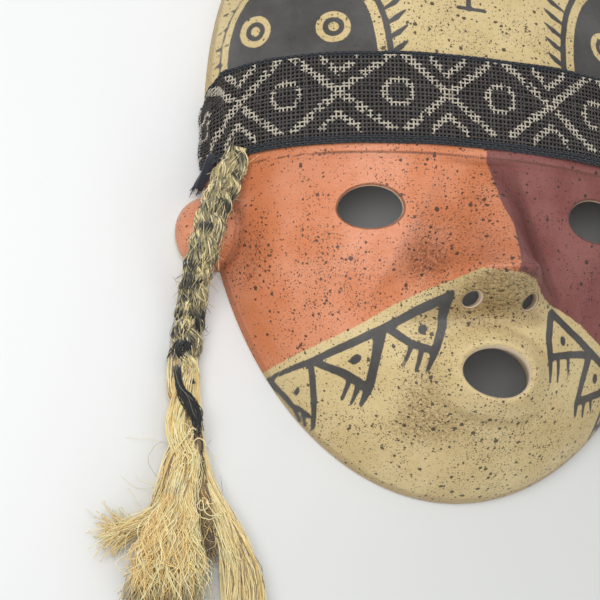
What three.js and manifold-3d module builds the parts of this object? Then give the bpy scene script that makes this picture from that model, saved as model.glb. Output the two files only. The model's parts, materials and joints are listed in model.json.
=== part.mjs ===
// A painted clay face mask lying on its back, with an open-weave cloth headband and two sisal
// rope braids that end in frayed tassels.
//
// Millimetres. +X is the mask's width, +Y points to the crown and +Z out of the face. The flat
// back rim lies on Z = 0, and the origin is the middle of the clay piece's outline on that plane.

import * as THREE from 'three';
import { mergeVertices } from 'three/addons/utils/BufferGeometryUtils.js';
import Module from 'manifold-3d';

const wasm = await Module();
wasm.setup();

// ---- Driving dimensions ----

// The face: a dome over an outline that is an ellipse below its widest line and squarer above it.
const HALF_WIDTH = 93;
const CHIN_REACH = 130;
const CROWN_REACH = 122;
const MID_Y = (CHIN_REACH - CROWN_REACH) / 2;
const CHIN_SQUARENESS = 2;
const CROWN_SQUARENESS = 2.5;
const DOME_HEIGHT = 54;
const DOME_FLATNESS = 2.4;
const DOME_FULLNESS = 1.6;
const WALL = 5.5;

// The nose: a wedge from the brow to the tip.
const NOSE = {
  rootY: -10.5,
  tipY: -59,
  baseY: -67.5,
  height: 33,
  rise: 0.9,
  rootHalfWidth: 9,
  tipHalfWidth: 24,
  ridgeRounding: 0.02,
};

// The muzzle mound that carries the mouth, and the raised lip round the hole.
const MUZZLE = { y: -85, height: 15, halfWidth: 36, halfLength: 28, fall: 1.25 };
const LIP = { height: 2, reach: 1.32, width: 0.16 };

// Holes through the wall. Each is an ellipse with its own upper and lower half height.
const LEFT_EYE = { x: -41.5, y: -28, halfWidth: 11.2, upper: 8.2, lower: 7.2 };
const RIGHT_EYE = { ...LEFT_EYE, x: 44.5 };
const MOUTH = { x: 1.5, y: -88.5, halfWidth: 12.6, upper: 7.8, lower: 7.8 };
const NOSTRIL = { x: 11, y: -64, z: 61, radius: 2.9, tilt: 0.4, length: 34 };

// Ears: rounded lobes on the rim.
const EAR = { x: 94, y: -28.5, z: 8, halfWidth: 11.6, halfLength: 14.5, halfHeight: 12 };

// The headband: two layers of cloth over the brow, a little askew.
const BAND = { y: 12, halfHeight: 18, slope: -0.03, endAngle: 1.505 };
const BACKING = { gap: 0.6, thickness: 0.5 };
const CLOTH = { gap: 1.4, thickness: 1 };

// The black tie end that sticks out of each end of the headband's lower edge, towards the ear.
// Its outline is given as [x, share of the way down to the ear].
const TIE = { lift: 2.5, thickness: 1.6, outline: [[94, 0], [96.8, 0], [99.2, 0.92], [97, 1]] };
const TIE_GAP = { band: 1.2, ear: 1.4 };

// The braids, from the headband's lower edge over the ear to the surface the mask lies on. The
// route is the left one's, and its Y is counted from the headband's lower edge there.
const BRAID_RADIUS = 5.3;
const BRAID_ROOT_X = 86;
const BRAID_ROUTE = [
  [-86.8, -3.3, 27.6],
  [-88.4, -6.3, 25.8],
  [-91, -13, 24.8],
  [-94.8, -22.6, 25.9],
  [-97.2, -31, 25.5],
  [-98.5, -38.2, 22.3],
  [-99.3, -45.4, 15.6],
  [-99.6, -53, 9.2],
  [-100.5, -63.8, 6.1],
  [-102, -74, 5.8],
  [-102.6, -82.6, 5.8],
];

// The tassels, as elliptical sections from the braid's end down: distance below the braid's end,
// shift towards the mask, half width and half height.
const TASSEL_GAP = 0.35;
const TASSEL_SECTIONS = [
  [0, 0, 5.4, 5.3],
  [13, 0.3, 7, 6],
  [26, 0.7, 8.2, 7],
  [38, 1.2, 10.2, 7.5],
  [49, 2.2, 16, 8],
  [61, 3.7, 21.5, 8.5],
  [73, 4.7, 24, 8],
  [83, 5.2, 24, 7],
  [91, 5.6, 20, 5.5],
];

// Mesh fineness.
const SHELL_SEGMENTS = 72;
const OUTER_RINGS = 26;
const INNER_RINGS = 10;
const BAND_STEPS = 48;
const BAND_ROWS = 4;
const BRAID_STEPS = 36;

// ---- Materials ----

const paint = (name, color, roughness) =>
  new THREE.MeshStandardMaterial({ name, color, roughness, metalness: 0 });
const CLAY = paint('slip_painted_clay', 0xc4623c, 0.5);
const BAND_CLOTH = paint('headband_cloth', 0x4a4340, 0.95);
const BACKING_CLOTH = paint('backing_cloth', 0x1b191b, 0.95);
const TIE_CLOTH = paint('tie_cloth', 0x20222a, 0.95);
const SISAL = paint('dyed_sisal', 0x8d8156, 0.9);
const RAW_SISAL = paint('raw_sisal', 0xd9c493, 0.9);

// ---- Surfaces ----

const clamp01 = (value) => Math.min(1, Math.max(0, value));
const smoothstep = (low, high, value) => {
  const t = clamp01((value - low) / (high - low));
  return t * t * (3 - 2 * t);
};

// How far (x, y) is from the middle of the face, as a share of the outline. inset shrinks the
// outline by a wall thickness.
function outlineShare(x, y, inset) {
  const below = y < MID_Y;
  const power = below ? CHIN_SQUARENESS : CROWN_SQUARENESS;
  const reach = (below ? CHIN_REACH : CROWN_REACH) - inset;
  const across = Math.abs(x) / (HALF_WIDTH - inset);
  const along = Math.abs(y - MID_Y) / reach;
  return (across ** power + along ** power) ** (1 / power);
}

function domeHeight(x, y, inset) {
  const share = Math.min(1, outlineShare(x, y, inset));
  return (DOME_HEIGHT - inset) * (1 - share ** DOME_FLATNESS) ** (1 / DOME_FULLNESS);
}

function noseHeight(x, y) {
  const down = clamp01((NOSE.rootY - y) / (NOSE.rootY - NOSE.tipY));
  const halfWidth = NOSE.rootHalfWidth + (NOSE.tipHalfWidth - NOSE.rootHalfWidth) * down ** 1.2;
  const side = Math.sqrt((x / halfWidth) ** 2 + NOSE.ridgeRounding) - Math.sqrt(NOSE.ridgeRounding);
  const flank = clamp01(1 - side);
  const profile = 0.65 * flank + 0.35 * smoothstep(0, 1, flank);
  return NOSE.height * down ** NOSE.rise * profile * smoothstep(NOSE.baseY, NOSE.tipY, y);
}

function muzzleHeight(x, y) {
  const spread = (x / MUZZLE.halfWidth) ** 2 + ((y - MUZZLE.y) / MUZZLE.halfLength) ** 2;
  return MUZZLE.height * Math.exp(-(spread ** MUZZLE.fall));
}

// 1 on the edge of a hole, less inside it and more outside.
function holeShare(hole, x, y) {
  const halfHeight = y > hole.y ? hole.upper : hole.lower;
  return Math.hypot((x - hole.x) / hole.halfWidth, (y - hole.y) / halfHeight);
}

function lipHeight(x, y) {
  const away = (holeShare(MOUTH, x, y) - LIP.reach) / LIP.width;
  return LIP.height * Math.exp(-away * away);
}

const outerHeight = (x, y) =>
  domeHeight(x, y, 0) + noseHeight(x, y) + muzzleHeight(x, y) + lipHeight(x, y);
const innerHeight = (x, y) =>
  domeHeight(x, y, WALL) + 0.85 * (noseHeight(x, y) + muzzleHeight(x, y));

// The outline's reach from the middle of the face in one direction.
function outlineReach(angle, inset) {
  return 1 / outlineShare(Math.cos(angle), MID_Y + Math.sin(angle), inset);
}

// ---- Solids ----

function indexed(positions, triangles) {
  const geometry = new THREE.BufferGeometry();
  geometry.setAttribute('position', new THREE.Float32BufferAttribute(positions, 3));
  geometry.setIndex(triangles);
  return geometry;
}

// A closed body from a grid of points: rows of equal length that wrap round, with a flat fan
// over the first and the last row.
function wrappedRows(rows) {
  const count = rows[0].length;
  const positions = rows.flat(2);
  const triangles = [];
  for (let row = 0; row + 1 < rows.length; row += 1) {
    for (let i = 0; i < count; i += 1) {
      const a = row * count + i;
      const b = row * count + ((i + 1) % count);
      triangles.push(a, b, a + count, b, b + count, a + count);
    }
  }
  const last = (rows.length - 1) * count;
  for (let i = 1; i + 1 < count; i += 1) {
    triangles.push(0, i + 1, i, last, last + i, last + i + 1);
  }
  return indexed(positions, triangles);
}

// The clay shell before its holes: rings of the outer surface from the rim up to the top, then
// the inner surface back down to the rim.
function shellBlank() {
  const ringOf = (inset, heightAt, share) =>
    Array.from({ length: SHELL_SEGMENTS }, (_, i) => {
      const angle = (2 * Math.PI * i) / SHELL_SEGMENTS;
      const reach = share * outlineReach(angle, inset);
      const x = reach * Math.cos(angle);
      const y = MID_Y + reach * Math.sin(angle);
      return [x, y, share === 1 ? 0 : heightAt(x, y)];
    });
  const shares = (rings) => Array.from({ length: rings }, (_, k) => Math.cos((Math.PI * k) / (2 * rings)));
  const rows = [
    ...shares(OUTER_RINGS).map((share) => ringOf(0, outerHeight, share)),
    ...shares(INNER_RINGS).map((share) => ringOf(WALL, innerHeight, share)).reverse(),
  ];
  const count = SHELL_SEGMENTS;
  const positions = rows.flat(2);
  const triangles = [];
  const link = (from, to) => {
    for (let i = 0; i < count; i += 1) {
      const next = (i + 1) % count;
      triangles.push(from + i, from + next, to + i, from + next, to + next, to + i);
    }
  };
  for (let row = 0; row + 1 < rows.length; row += 1) {
    if (row !== OUTER_RINGS - 1) {
      link(row * count, (row + 1) * count);
    }
  }
  link((rows.length - 1) * count, 0);
  const topOf = (row, heightAt, outward) => {
    const centre = positions.length / 3;
    positions.push(0, MID_Y, heightAt(0, MID_Y));
    for (let i = 0; i < count; i += 1) {
      const a = row * count + i;
      const b = row * count + ((i + 1) % count);
      triangles.push(...(outward ? [a, b, centre] : [b, a, centre]));
    }
  };
  topOf(OUTER_RINGS - 1, outerHeight, true);
  topOf(OUTER_RINGS, innerHeight, false);
  return indexed(positions, triangles);
}

function toSolid(geometry) {
  const plain = geometry.clone();
  plain.deleteAttribute('normal');
  plain.deleteAttribute('uv');
  const merged = mergeVertices(plain, 1e-4);
  return new wasm.Manifold(new wasm.Mesh({
    numProp: 3,
    vertProperties: new Float32Array(merged.attributes.position.array),
    triVerts: new Uint32Array(merged.index.array),
  }));
}

function fromSolid(solid) {
  const mesh = solid.getMesh();
  return indexed(mesh.vertProperties, Array.from(mesh.triVerts));
}

function holeCutter(hole) {
  const corners = Array.from({ length: 32 }, (_, i) => {
    const angle = (2 * Math.PI * i) / 32;
    const halfHeight = Math.sin(angle) > 0 ? hole.upper : hole.lower;
    return new THREE.Vector2(
      hole.x + hole.halfWidth * Math.cos(angle),
      hole.y + halfHeight * Math.sin(angle),
    );
  });
  return new THREE.ExtrudeGeometry(new THREE.Shape(corners), { depth: 90, bevelEnabled: false });
}

function nostrilCutter(side) {
  const cutter = new THREE.CylinderGeometry(NOSTRIL.radius, NOSTRIL.radius, NOSTRIL.length, 16);
  cutter.rotateX(Math.PI / 2 + NOSTRIL.tilt);
  cutter.translate(side * NOSTRIL.x, NOSTRIL.y, NOSTRIL.z);
  return cutter;
}

function earLobe(side) {
  const lobe = new THREE.SphereGeometry(1, 20, 14);
  lobe.scale(EAR.halfWidth, EAR.halfLength, EAR.halfHeight);
  lobe.translate(side * EAR.x, EAR.y, EAR.z);
  return lobe;
}

function maskShell() {
  const below = new THREE.BoxGeometry(400, 400, 40);
  below.translate(0, 0, -20);
  let clay = toSolid(shellBlank());
  for (const side of [-1, 1]) {
    const lobe = toSolid(earLobe(side)).subtract(toSolid(below));
    clay = clay.add(lobe.subtract(toSolid(cavityPlug())));
  }
  const cutters = [
    holeCutter(LEFT_EYE),
    holeCutter(RIGHT_EYE),
    holeCutter(MOUTH),
    nostrilCutter(-1),
    nostrilCutter(1),
  ];
  for (const cutter of cutters) {
    clay = clay.subtract(toSolid(cutter));
  }
  return fromSolid(clay);
}

// The space inside the shell, as a closed body.
function cavityPlug() {
  const rows = Array.from({ length: INNER_RINGS }, (_, k) => {
    const share = Math.cos((Math.PI * k) / (2 * INNER_RINGS));
    return Array.from({ length: SHELL_SEGMENTS }, (_unused, i) => {
      const angle = (2 * Math.PI * i) / SHELL_SEGMENTS;
      const reach = share * outlineReach(angle, WALL);
      const x = reach * Math.cos(angle);
      const y = MID_Y + reach * Math.sin(angle);
      return [x, y, share === 1 ? 0 : innerHeight(x, y)];
    });
  });
  return wrappedRows(rows);
}

// ---- The cloth ----

const bandMiddle = (x) => BAND.y + BAND.slope * x;
const bandEdge = (x) => bandMiddle(x) - BAND.halfHeight;

// A point of the bare dome under the headband, moved outwards by the given distance.
function overBrow(angle, across, distance) {
  const y = bandMiddle(HALF_WIDTH * Math.sin(angle)) + across * BAND.halfHeight;
  const x = outlineReachAcross(y) * Math.sin(angle);
  const z = domeHeight(x, y, 0);
  const step = 0.01;
  const share = outlineShare(x, y, 0);
  const shareX = (outlineShare(x + step, y, 0) - outlineShare(x - step, y, 0)) / (2 * step);
  const shareY = (outlineShare(x, y + step, 0) - outlineShare(x, y - step, 0)) / (2 * step);
  const pull = DOME_FLATNESS * share ** (DOME_FLATNESS - 1);
  const lift = (DOME_FULLNESS / DOME_HEIGHT) * (z / DOME_HEIGHT) ** (DOME_FULLNESS - 1);
  const normal = new THREE.Vector3(pull * shareX, pull * shareY, lift).normalize();
  return normal.multiplyScalar(distance).add(new THREE.Vector3(x, y, z)).toArray();
}

// Half the outline's width at one height of the face.
function outlineReachAcross(y) {
  const below = y < MID_Y;
  const power = below ? CHIN_SQUARENESS : CROWN_SQUARENESS;
  const along = Math.abs(y - MID_Y) / (below ? CHIN_REACH : CROWN_REACH);
  return HALF_WIDTH * (1 - along ** power) ** (1 / power);
}

// A layer of cloth round the brow from one end of the rim to the other.
function browLayer({ gap, thickness }) {
  const rows = Array.from({ length: BAND_STEPS + 1 }, (_, i) => {
    const angle = BAND.endAngle * ((2 * i) / BAND_STEPS - 1);
    const edge = (distance, order) =>
      order.map((k) => overBrow(angle, (2 * k) / BAND_ROWS - 1, distance));
    const up = Array.from({ length: BAND_ROWS + 1 }, (_unused, k) => k);
    return [...edge(gap, up), ...edge(gap + thickness, [...up].reverse())];
  });
  return wrappedRows(rows);
}

function tieEnd(side) {
  const top = bandEdge(side * HALF_WIDTH) - TIE_GAP.band;
  const bottom = EAR.y + EAR.halfLength + TIE_GAP.ear;
  const corners = TIE.outline.map(([x, share]) =>
    new THREE.Vector2(side * x, top + share * (bottom - top)));
  if (side < 0) {
    corners.reverse();
  }
  const strip = new THREE.ExtrudeGeometry(new THREE.Shape(corners), {
    depth: TIE.thickness,
    bevelEnabled: false,
  });
  strip.translate(0, 0, TIE.lift);
  return strip;
}

// ---- The braids ----

function braidPoints(side) {
  const rootY = bandEdge(side * BRAID_ROOT_X);
  return BRAID_ROUTE.map(([x, y, z]) => new THREE.Vector3(-side * x, y + rootY, z));
}

function braidTube(side) {
  const section = new THREE.Shape().absarc(0, 0, BRAID_RADIUS, 0, 2 * Math.PI);
  return new THREE.ExtrudeGeometry(section, {
    steps: BRAID_STEPS,
    curveSegments: 5,
    bevelEnabled: false,
    extrudePath: new THREE.CatmullRomCurve3(braidPoints(side)),
  });
}

function tassel(side) {
  const end = braidPoints(side).at(-1);
  const rows = TASSEL_SECTIONS.map(([down, inward, halfWidth, halfHeight]) =>
    Array.from({ length: 14 }, (_, i) => {
      const angle = (2 * Math.PI * i) / 14;
      return [
        end.x - side * inward + halfWidth * Math.cos(angle),
        end.y - TASSEL_GAP - down,
        halfHeight + 0.4 + halfHeight * Math.sin(angle),
      ];
    }));
  return wrappedRows(rows);
}

// ---- The scene graph ----

const mask = new THREE.Group();

function place(name, geometry, material) {
  const mesh = new THREE.Mesh(geometry, material);
  mesh.name = name;
  mask.add(mesh);
}

place('mask_shell', maskShell(), CLAY);
place('headband_backing', browLayer(BACKING), BACKING_CLOTH);
place('headband', browLayer(CLOTH), BAND_CLOTH);
for (const [label, side] of [['left', -1], ['right', 1]]) {
  place(`headband_tie_${label}`, tieEnd(side), TIE_CLOTH);
  place(`braid_${label}`, braidTube(side), SISAL);
  place(`tassel_${label}`, tassel(side), RAW_SISAL);
}

export default mask;
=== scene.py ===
import json
import math

import bmesh
import bpy
import numpy as np
from mathutils import Matrix, Vector

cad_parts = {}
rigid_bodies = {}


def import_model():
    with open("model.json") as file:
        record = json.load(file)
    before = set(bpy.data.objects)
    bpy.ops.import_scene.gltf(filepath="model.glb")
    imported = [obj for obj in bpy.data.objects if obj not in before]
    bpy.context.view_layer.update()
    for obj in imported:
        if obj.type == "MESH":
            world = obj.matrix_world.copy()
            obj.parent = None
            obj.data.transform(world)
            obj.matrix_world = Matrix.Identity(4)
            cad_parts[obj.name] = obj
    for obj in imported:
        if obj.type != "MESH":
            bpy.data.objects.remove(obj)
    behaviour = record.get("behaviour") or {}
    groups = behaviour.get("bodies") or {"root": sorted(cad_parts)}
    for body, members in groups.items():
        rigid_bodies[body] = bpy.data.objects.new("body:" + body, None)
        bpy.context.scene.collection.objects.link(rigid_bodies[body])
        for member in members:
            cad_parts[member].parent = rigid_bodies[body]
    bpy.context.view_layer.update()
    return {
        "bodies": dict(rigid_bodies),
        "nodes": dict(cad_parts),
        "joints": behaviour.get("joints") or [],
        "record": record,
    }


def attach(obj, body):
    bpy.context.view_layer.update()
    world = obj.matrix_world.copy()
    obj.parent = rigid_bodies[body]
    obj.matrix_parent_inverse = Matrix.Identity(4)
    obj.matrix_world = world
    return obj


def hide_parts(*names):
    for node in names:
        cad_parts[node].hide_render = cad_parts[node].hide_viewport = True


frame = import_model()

# A painted clay face mask on its back, with a woven headband and two braids of sisal rope.
#
# Sizes are in millimetres in the mask's own frame, and meshes are made in metres: +X is the mask's
# width, +Y points to the crown and +Z out of the face, and the mask lies on Z = 0.

MM = 0.001

# ---- The clay shell ----

# The outline is rounder below MID_Y than above it, and the face is a dome over the outline. The nose
# and the muzzle stand on the dome, and INNER_RELIEF of their height shows behind.
HALF_WIDTH = 93
CHIN_REACH = 130
CROWN_REACH = 122
MID_Y = (CHIN_REACH - CROWN_REACH) / 2
CHIN_SQUARENESS = 2
CROWN_SQUARENESS = 2.5
DOME_HEIGHT = 54
DOME_FLATNESS = 2.4
DOME_FULLNESS = 1.6
WALL = 5.5
INNER_RELIEF = 0.85
NOSE_ROOT_Y = -10.5
NOSE_TIP_Y = -59
NOSE_BASE_Y = -71
NOSE_DROP_Y = -57
NOSE_HEIGHT = 33
NOSE_ROOT_HALF_WIDTH = 12
NOSE_TIP_HALF_WIDTH = 28
NOSE_RIDGE_ROUNDING = 0.05

# The swellings beside the nose's tip.
WINGS = [
    {"x": -14, "y": -57.5, "height": 3.2, "half_width": 5.5, "half_length": 4.5, "fall": 1},
    {"x": 8, "y": -57, "height": 3, "half_width": 3.6, "half_length": 4, "fall": 1},
]
MUZZLE = {"x": 0, "y": -85, "height": 15, "half_width": 36, "half_length": 28, "fall": 1.25}

# A raised edge and a mound round the mouth: heights, and places as shares of the mouth's ellipse.
LIP = {"height": 1.1, "reach": 1.16, "width": 0.22, "mound": 3, "inner": 1.25, "outer": 2.05}

# An ear: where it sits along the rim, its reach across the rim, the heights of its edge and its lobe,
# the hollow in the lobe, how softly it joins the face, and its undercut as a share of its reach.
EAR = {
    "turn": math.radians(-19.07), "half_turn": 0.145, "outside": 15.6, "inside": 9,
    "edge": 8, "height": 12, "hollow": 2.6, "blend": 2.5, "under": 0.255,
}

# Openings: the ellipse's middle, its half width, and its upper and lower half heights.
LEFT_EYE = {
    "x": -41.9, "y": -28, "half_width": 11.3, "upper": 8.2, "lower": 7.2, "turn": math.radians(-3),
}
RIGHT_EYE = {**LEFT_EYE, "x": 44.5, "turn": math.radians(3)}
MOUTH = {
    "x": 1, "y": -88.8, "half_width": 12.9, "upper": 7.8, "lower": 7.5, "turn": math.radians(-9),
    "round": 2.3,
}
NOSTRIL = {"y": -64.2, "half_width": 3, "upper": 3.6, "lower": 3, "z": 61, "tilt": 0.4}
LEFT_NOSTRIL = {**NOSTRIL, "x": -11}
RIGHT_NOSTRIL = {**NOSTRIL, "x": 11}
NOSTRIL_LOWEST_Y = NOSE_BASE_Y - 4.0
NOSTRIL_HIGHEST_Y = NOSE_DROP_Y + 2.0

# The raised strip of clay that the headband's lower edge lies on, and its line below the headband.
COLLAR = {"y": -8.8, "slope": -0.03, "height": 0.7, "width": 0.8, "fade": (8, 3)}

# Mesh fineness and edge rounding. The eye holes and the mouth widen by HOLE_FLARE towards the back.
SHELL_SEGMENTS = 540
EAR_SHARE = 0.88
OUTER_RINGS = 144
INNER_RINGS = 26
RELAX_STEPS = 12
SEARCH_STEPS = 40
OUTLINE_SAMPLES = 20001
SURFACE_SAMPLES = 500
ROUND_RINGS = 7
RIM_RINGS = 6
LARGE_HOLE_SIDES = 96
SMALL_HOLE_SIDES = 48
RIM_ROUND = 1.2
HOLE_ROUND = 1.3
HOLE_MARGIN = 2.4
HOLE_FLARE = 2.5

# ---- The cloth, the braids and the tassels ----

# The headband: its middle line on the face, and the angles round the brow of its ends and of the part
# where it is gathered. Heights of the lining and the threads are over the dome.
BAND = {"y": 12, "half_height": 18, "slope": -0.03, "end_angle": 1.505, "gather": 0.28}
BROW_SAMPLES = 2001
HEM = {
    "edge": 0.45, "pitch": 0.8, "lower_threads": 4, "upper_threads": 3, "lower": 3.3, "upper": 2.3,
}
LINING = {"columns": 160, "rows": 24, "from_end": 0.6, "from_edge": 0.4, "heights": (0.95, 1.35)}
WEAVE_PITCH = 1.53
THREAD = {
    "half_width": 0.31, "half_height": 0.17, "rise": 0.22, "height": 1.9, "steps": 3, "sides": 4,
}

# The braid's middle on one side, with Y counted from the headband's lower edge.
BRAID_ROOT_X = 86
BRAID_ROUTE = [
    (-86.8, -3.3, 27.6),
    (-88.4, -6.3, 25.8),
    (-91, -13, 24.8),
    (-94.8, -22.6, 25.9),
    (-97.2, -31, 25.5),
    (-98.5, -38.2, 22.3),
    (-99.3, -45.4, 15.6),
    (-99.6, -53, 9.2),
    (-100.5, -63.8, 6.1),
    (-102, -74, 5.8),
    (-102.6, -82.6, 5.8),
]


# ---- Camera, light and floor ----

CAMERA = {
    "place": (-275.0, -281.6, 803.3), "yaw": 15.23, "pitch": 15.52, "roll": -1.13,
    "lens": 138.9, "sensor": 36,
}

# Round lamps: name, place, the place it points at, width in metres, and power in watts. The last one
# is under the mask and lights the floor seen through the holes.
LIGHTS = [
    ("key", (-0.5, -0.05, 1.1), (0, 0, 0), 0.9, 9),
    ("fill", (0.6, -0.8, 1.3), (0, 0, 0), 1.2, 3.5),
    ("under_rim", (0.012, -0.022, 0.034), (0.012, -0.022, 0), 0.03, 0.0009),
]
SKY = {"colour": (0.97, 0.985, 1, 1), "strength": 0.52}

# The floor's colour fades from light to dark across the mask, as painted shade for the lamps'
# falloff.
FLOOR = {
    "reach": 4, "depth": 0.05, "across": (0.8, -0.6, 0), "fade": 130,
    "light": (0.83, 0.835, 0.83, 1), "dark": (0.65, 0.658, 0.65, 1),
}


def make_camera():
    yaw, pitch, roll = (math.radians(CAMERA[name]) for name in ("yaw", "pitch", "roll"))
    level = math.cos(pitch)
    back = Vector((-math.sin(yaw) * level, -math.sin(pitch), math.cos(yaw) * level))
    across = (-back).cross(Vector((0, 1, 0))).normalized()
    up = back.cross(across)
    right = math.cos(roll) * across + math.sin(roll) * up
    top = math.cos(roll) * up - math.sin(roll) * across
    data = bpy.data.cameras.new("camera")
    data.lens = CAMERA["lens"]
    data.sensor_width = CAMERA["sensor"]
    camera = bpy.data.objects.new("camera", data)
    turn = Matrix((right, top, back)).transposed().to_4x4()
    camera.matrix_world = Matrix.Translation(Vector(CAMERA["place"]) * MM) @ turn
    bpy.context.scene.collection.objects.link(camera)
    bpy.context.scene.camera = camera


def make_light(name, place, target, size, power):
    data = bpy.data.lights.new(name, "AREA")
    data.shape = "DISK"
    data.size = size
    data.energy = power
    light = bpy.data.objects.new(name, data)
    light.location = place
    light.rotation_euler = (Vector(target) - Vector(place)).to_track_quat("-Z", "Y").to_euler()
    bpy.context.scene.collection.objects.link(light)


def make_studio():
    for light in LIGHTS:
        make_light(*light)
    world = bpy.data.worlds.new("studio")
    world.use_nodes = True
    background = world.node_tree.nodes["Background"]
    background.inputs["Color"].default_value = SKY["colour"]
    background.inputs["Strength"].default_value = SKY["strength"]
    bpy.context.scene.world = world
    bpy.context.scene.view_settings.view_transform = "Standard"
    corners = np.array([(-1, -1), (1, -1), (1, 1), (-1, 1)]) * FLOOR["reach"] / MM
    points = np.column_stack([corners, np.full(4, -FLOOR["depth"])])
    paint = Shader("floor", roughness=0.55)
    # The floor darkens across the mask: painted shade.
    inputs = {0: paint.position(), 1: FLOOR["across"]}
    away = paint.node("VectorMath", inputs, "Value", operation="DOT_PRODUCT")
    share = paint.ramp(away, -FLOOR["fade"], FLOOR["fade"])
    paint.set(Base_Color=paint.mix(share, FLOOR["light"], FLOOR["dark"]))
    floor = mesh_object("floor", points, [np.array([[0, 1, 2, 3]])], paint.material)


# ---- Shader helper ----

class Shader:
    """A material's node tree. A socket's value is a number, a colour, or another node's output."""

    def __init__(self, name, roughness):
        self.material = bpy.data.materials.new(name)
        self.material.use_nodes = True
        self.tree = self.material.node_tree
        self.surface = self.tree.nodes["Principled BSDF"]
        self.surface.inputs["Roughness"].default_value = roughness

    def put(self, socket, value):
        if isinstance(value, bpy.types.NodeSocket):
            self.tree.links.new(value, socket)
        else:
            socket.default_value = value

    def set(self, **sockets):
        for name, value in sockets.items():
            self.put(self.surface.inputs[name.replace("_", " ")], value)

    def node(self, kind, inputs, output=0, **settings):
        node = self.tree.nodes.new("ShaderNode" + kind)
        for name, value in settings.items():
            setattr(node, name, value)
        for name, value in inputs.items():
            self.put(node.inputs[name], value)
        return node.outputs[output]

    def math(self, operation, first, second=0.0, third=0.0):
        return self.node("Math", {0: first, 1: second, 2: third}, operation=operation)

    def position(self):
        """The place on the object in millimetres."""
        place = self.node("TexCoord", {}, "Object")
        return self.node("VectorMath", {0: place, "Scale": 1 / MM}, operation="SCALE")

    def scaled(self, vector, scales):
        return self.node("VectorMath", {0: vector, 1: scales}, operation="MULTIPLY")

    def noise(self, vector, scale, detail=2.0, roughness=0.5):
        inputs = {"Vector": vector, "Scale": scale, "Detail": detail, "Roughness": roughness}
        return self.node("TexNoise", inputs)

    def ramp(self, value, low, high, start=0.0, end=1.0):
        inputs = {"Value": value, "From Min": low, "From Max": high, "To Min": start, "To Max": end}
        return self.node("MapRange", inputs, clamp=True, interpolation_type="SMOOTHSTEP")

    def mix(self, share, first, second, blend="MIX"):
        inputs = {0: share, 6: first, 7: second}
        return self.node("Mix", inputs, 2, data_type="RGBA", blend_type=blend)

    def attribute(self, name, output="Fac"):
        return self.node("Attribute", {}, output, attribute_name=name)

    def bump(self, height, strength, distance):
        return self.node("Bump", {"Height": height, "Strength": strength, "Distance": distance})


# ---- Mesh helpers ----

def mesh_object(name, points, polygons, material, attributes=None):
    """A smooth mesh from points in millimetres and arrays of faces, one array for each face size."""
    mesh = bpy.data.meshes.new(name)
    mesh.vertices.add(len(points))
    mesh.vertices.foreach_set("co", (np.asarray(points, float) * MM).astype(np.float32).ravel())
    corners = np.concatenate([faces.ravel() for faces in polygons]).astype(np.int32)
    sizes = np.concatenate([np.full(len(faces), faces.shape[1]) for faces in polygons])
    mesh.loops.add(len(corners))
    mesh.loops.foreach_set("vertex_index", corners)
    mesh.polygons.add(len(sizes))
    mesh.polygons.foreach_set("loop_start", (np.cumsum(sizes) - sizes).astype(np.int32))
    mesh.update(calc_edges=True)
    mesh.shade_smooth()
    for label, values in (attributes or {}).items():
        add_attribute(mesh, label, values)
    mesh.materials.append(material)
    piece = bpy.data.objects.new(name, mesh)
    bpy.context.scene.collection.objects.link(piece)
    return piece


def add_attribute(mesh, label, values):
    if values.ndim == 1:
        layer = mesh.attributes.new(label, "FLOAT", "POINT")
        layer.data.foreach_set("value", values.astype(np.float32))
        return
    layer = mesh.attributes.new(label, "FLOAT_COLOR", "POINT")
    full = np.column_stack([values, np.ones(len(values))])
    layer.data.foreach_set("color", full.astype(np.float32).ravel())


def face_outwards(piece):
    work = bmesh.new()
    work.from_mesh(piece.data)
    bmesh.ops.recalc_face_normals(work, faces=work.faces)
    work.to_mesh(piece.data)
    work.free()


def unit(vectors):
    return vectors / np.maximum(np.linalg.norm(vectors, axis=-1, keepdims=True), 1e-9)


def smoothstep(low, high, value):
    share = np.clip((value - low) / (high - low), 0, 1)
    return share * share * (3 - 2 * share)


def spline(points, count):
    """Points along a smooth curve through the given ones, spaced by their number.

    points may hold many curves: its next to last axis numbers the points of a curve.
    """
    points = np.asarray(points, float)
    before = 2 * points[..., :1, :] - points[..., 1:2, :]
    after = 2 * points[..., -1:, :] - points[..., -2:-1, :]
    padded = np.concatenate([before, points, after], axis=-2)
    at = np.linspace(0, points.shape[-2] - 1, count)
    span = np.minimum(at.astype(int), points.shape[-2] - 2)
    t = (at - span)[:, None]
    a, b, c, d = (padded[..., span + k, :] for k in range(4))
    square = 2 * a - 5 * b + 4 * c - d
    cube = 3 * b - a - 3 * c + d
    return 0.5 * (2 * b + (c - a) * t + square * t**2 + cube * t**3)


def path_lengths(points):
    """How far along a line each of its points is."""
    steps = np.linalg.norm(np.diff(points, axis=0), axis=1)
    return np.concatenate([[0], np.cumsum(steps)])


def strip(first, second, flipped=False):
    """The faces between two closed rings of points with equal counts, given as point numbers."""
    corners = [first, second, np.roll(second, -1, axis=-1), np.roll(first, -1, axis=-1)]
    if flipped:
        corners = corners[:1] + corners[:0:-1]
    return np.stack(corners, axis=-1).reshape(-1, 4)


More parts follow.
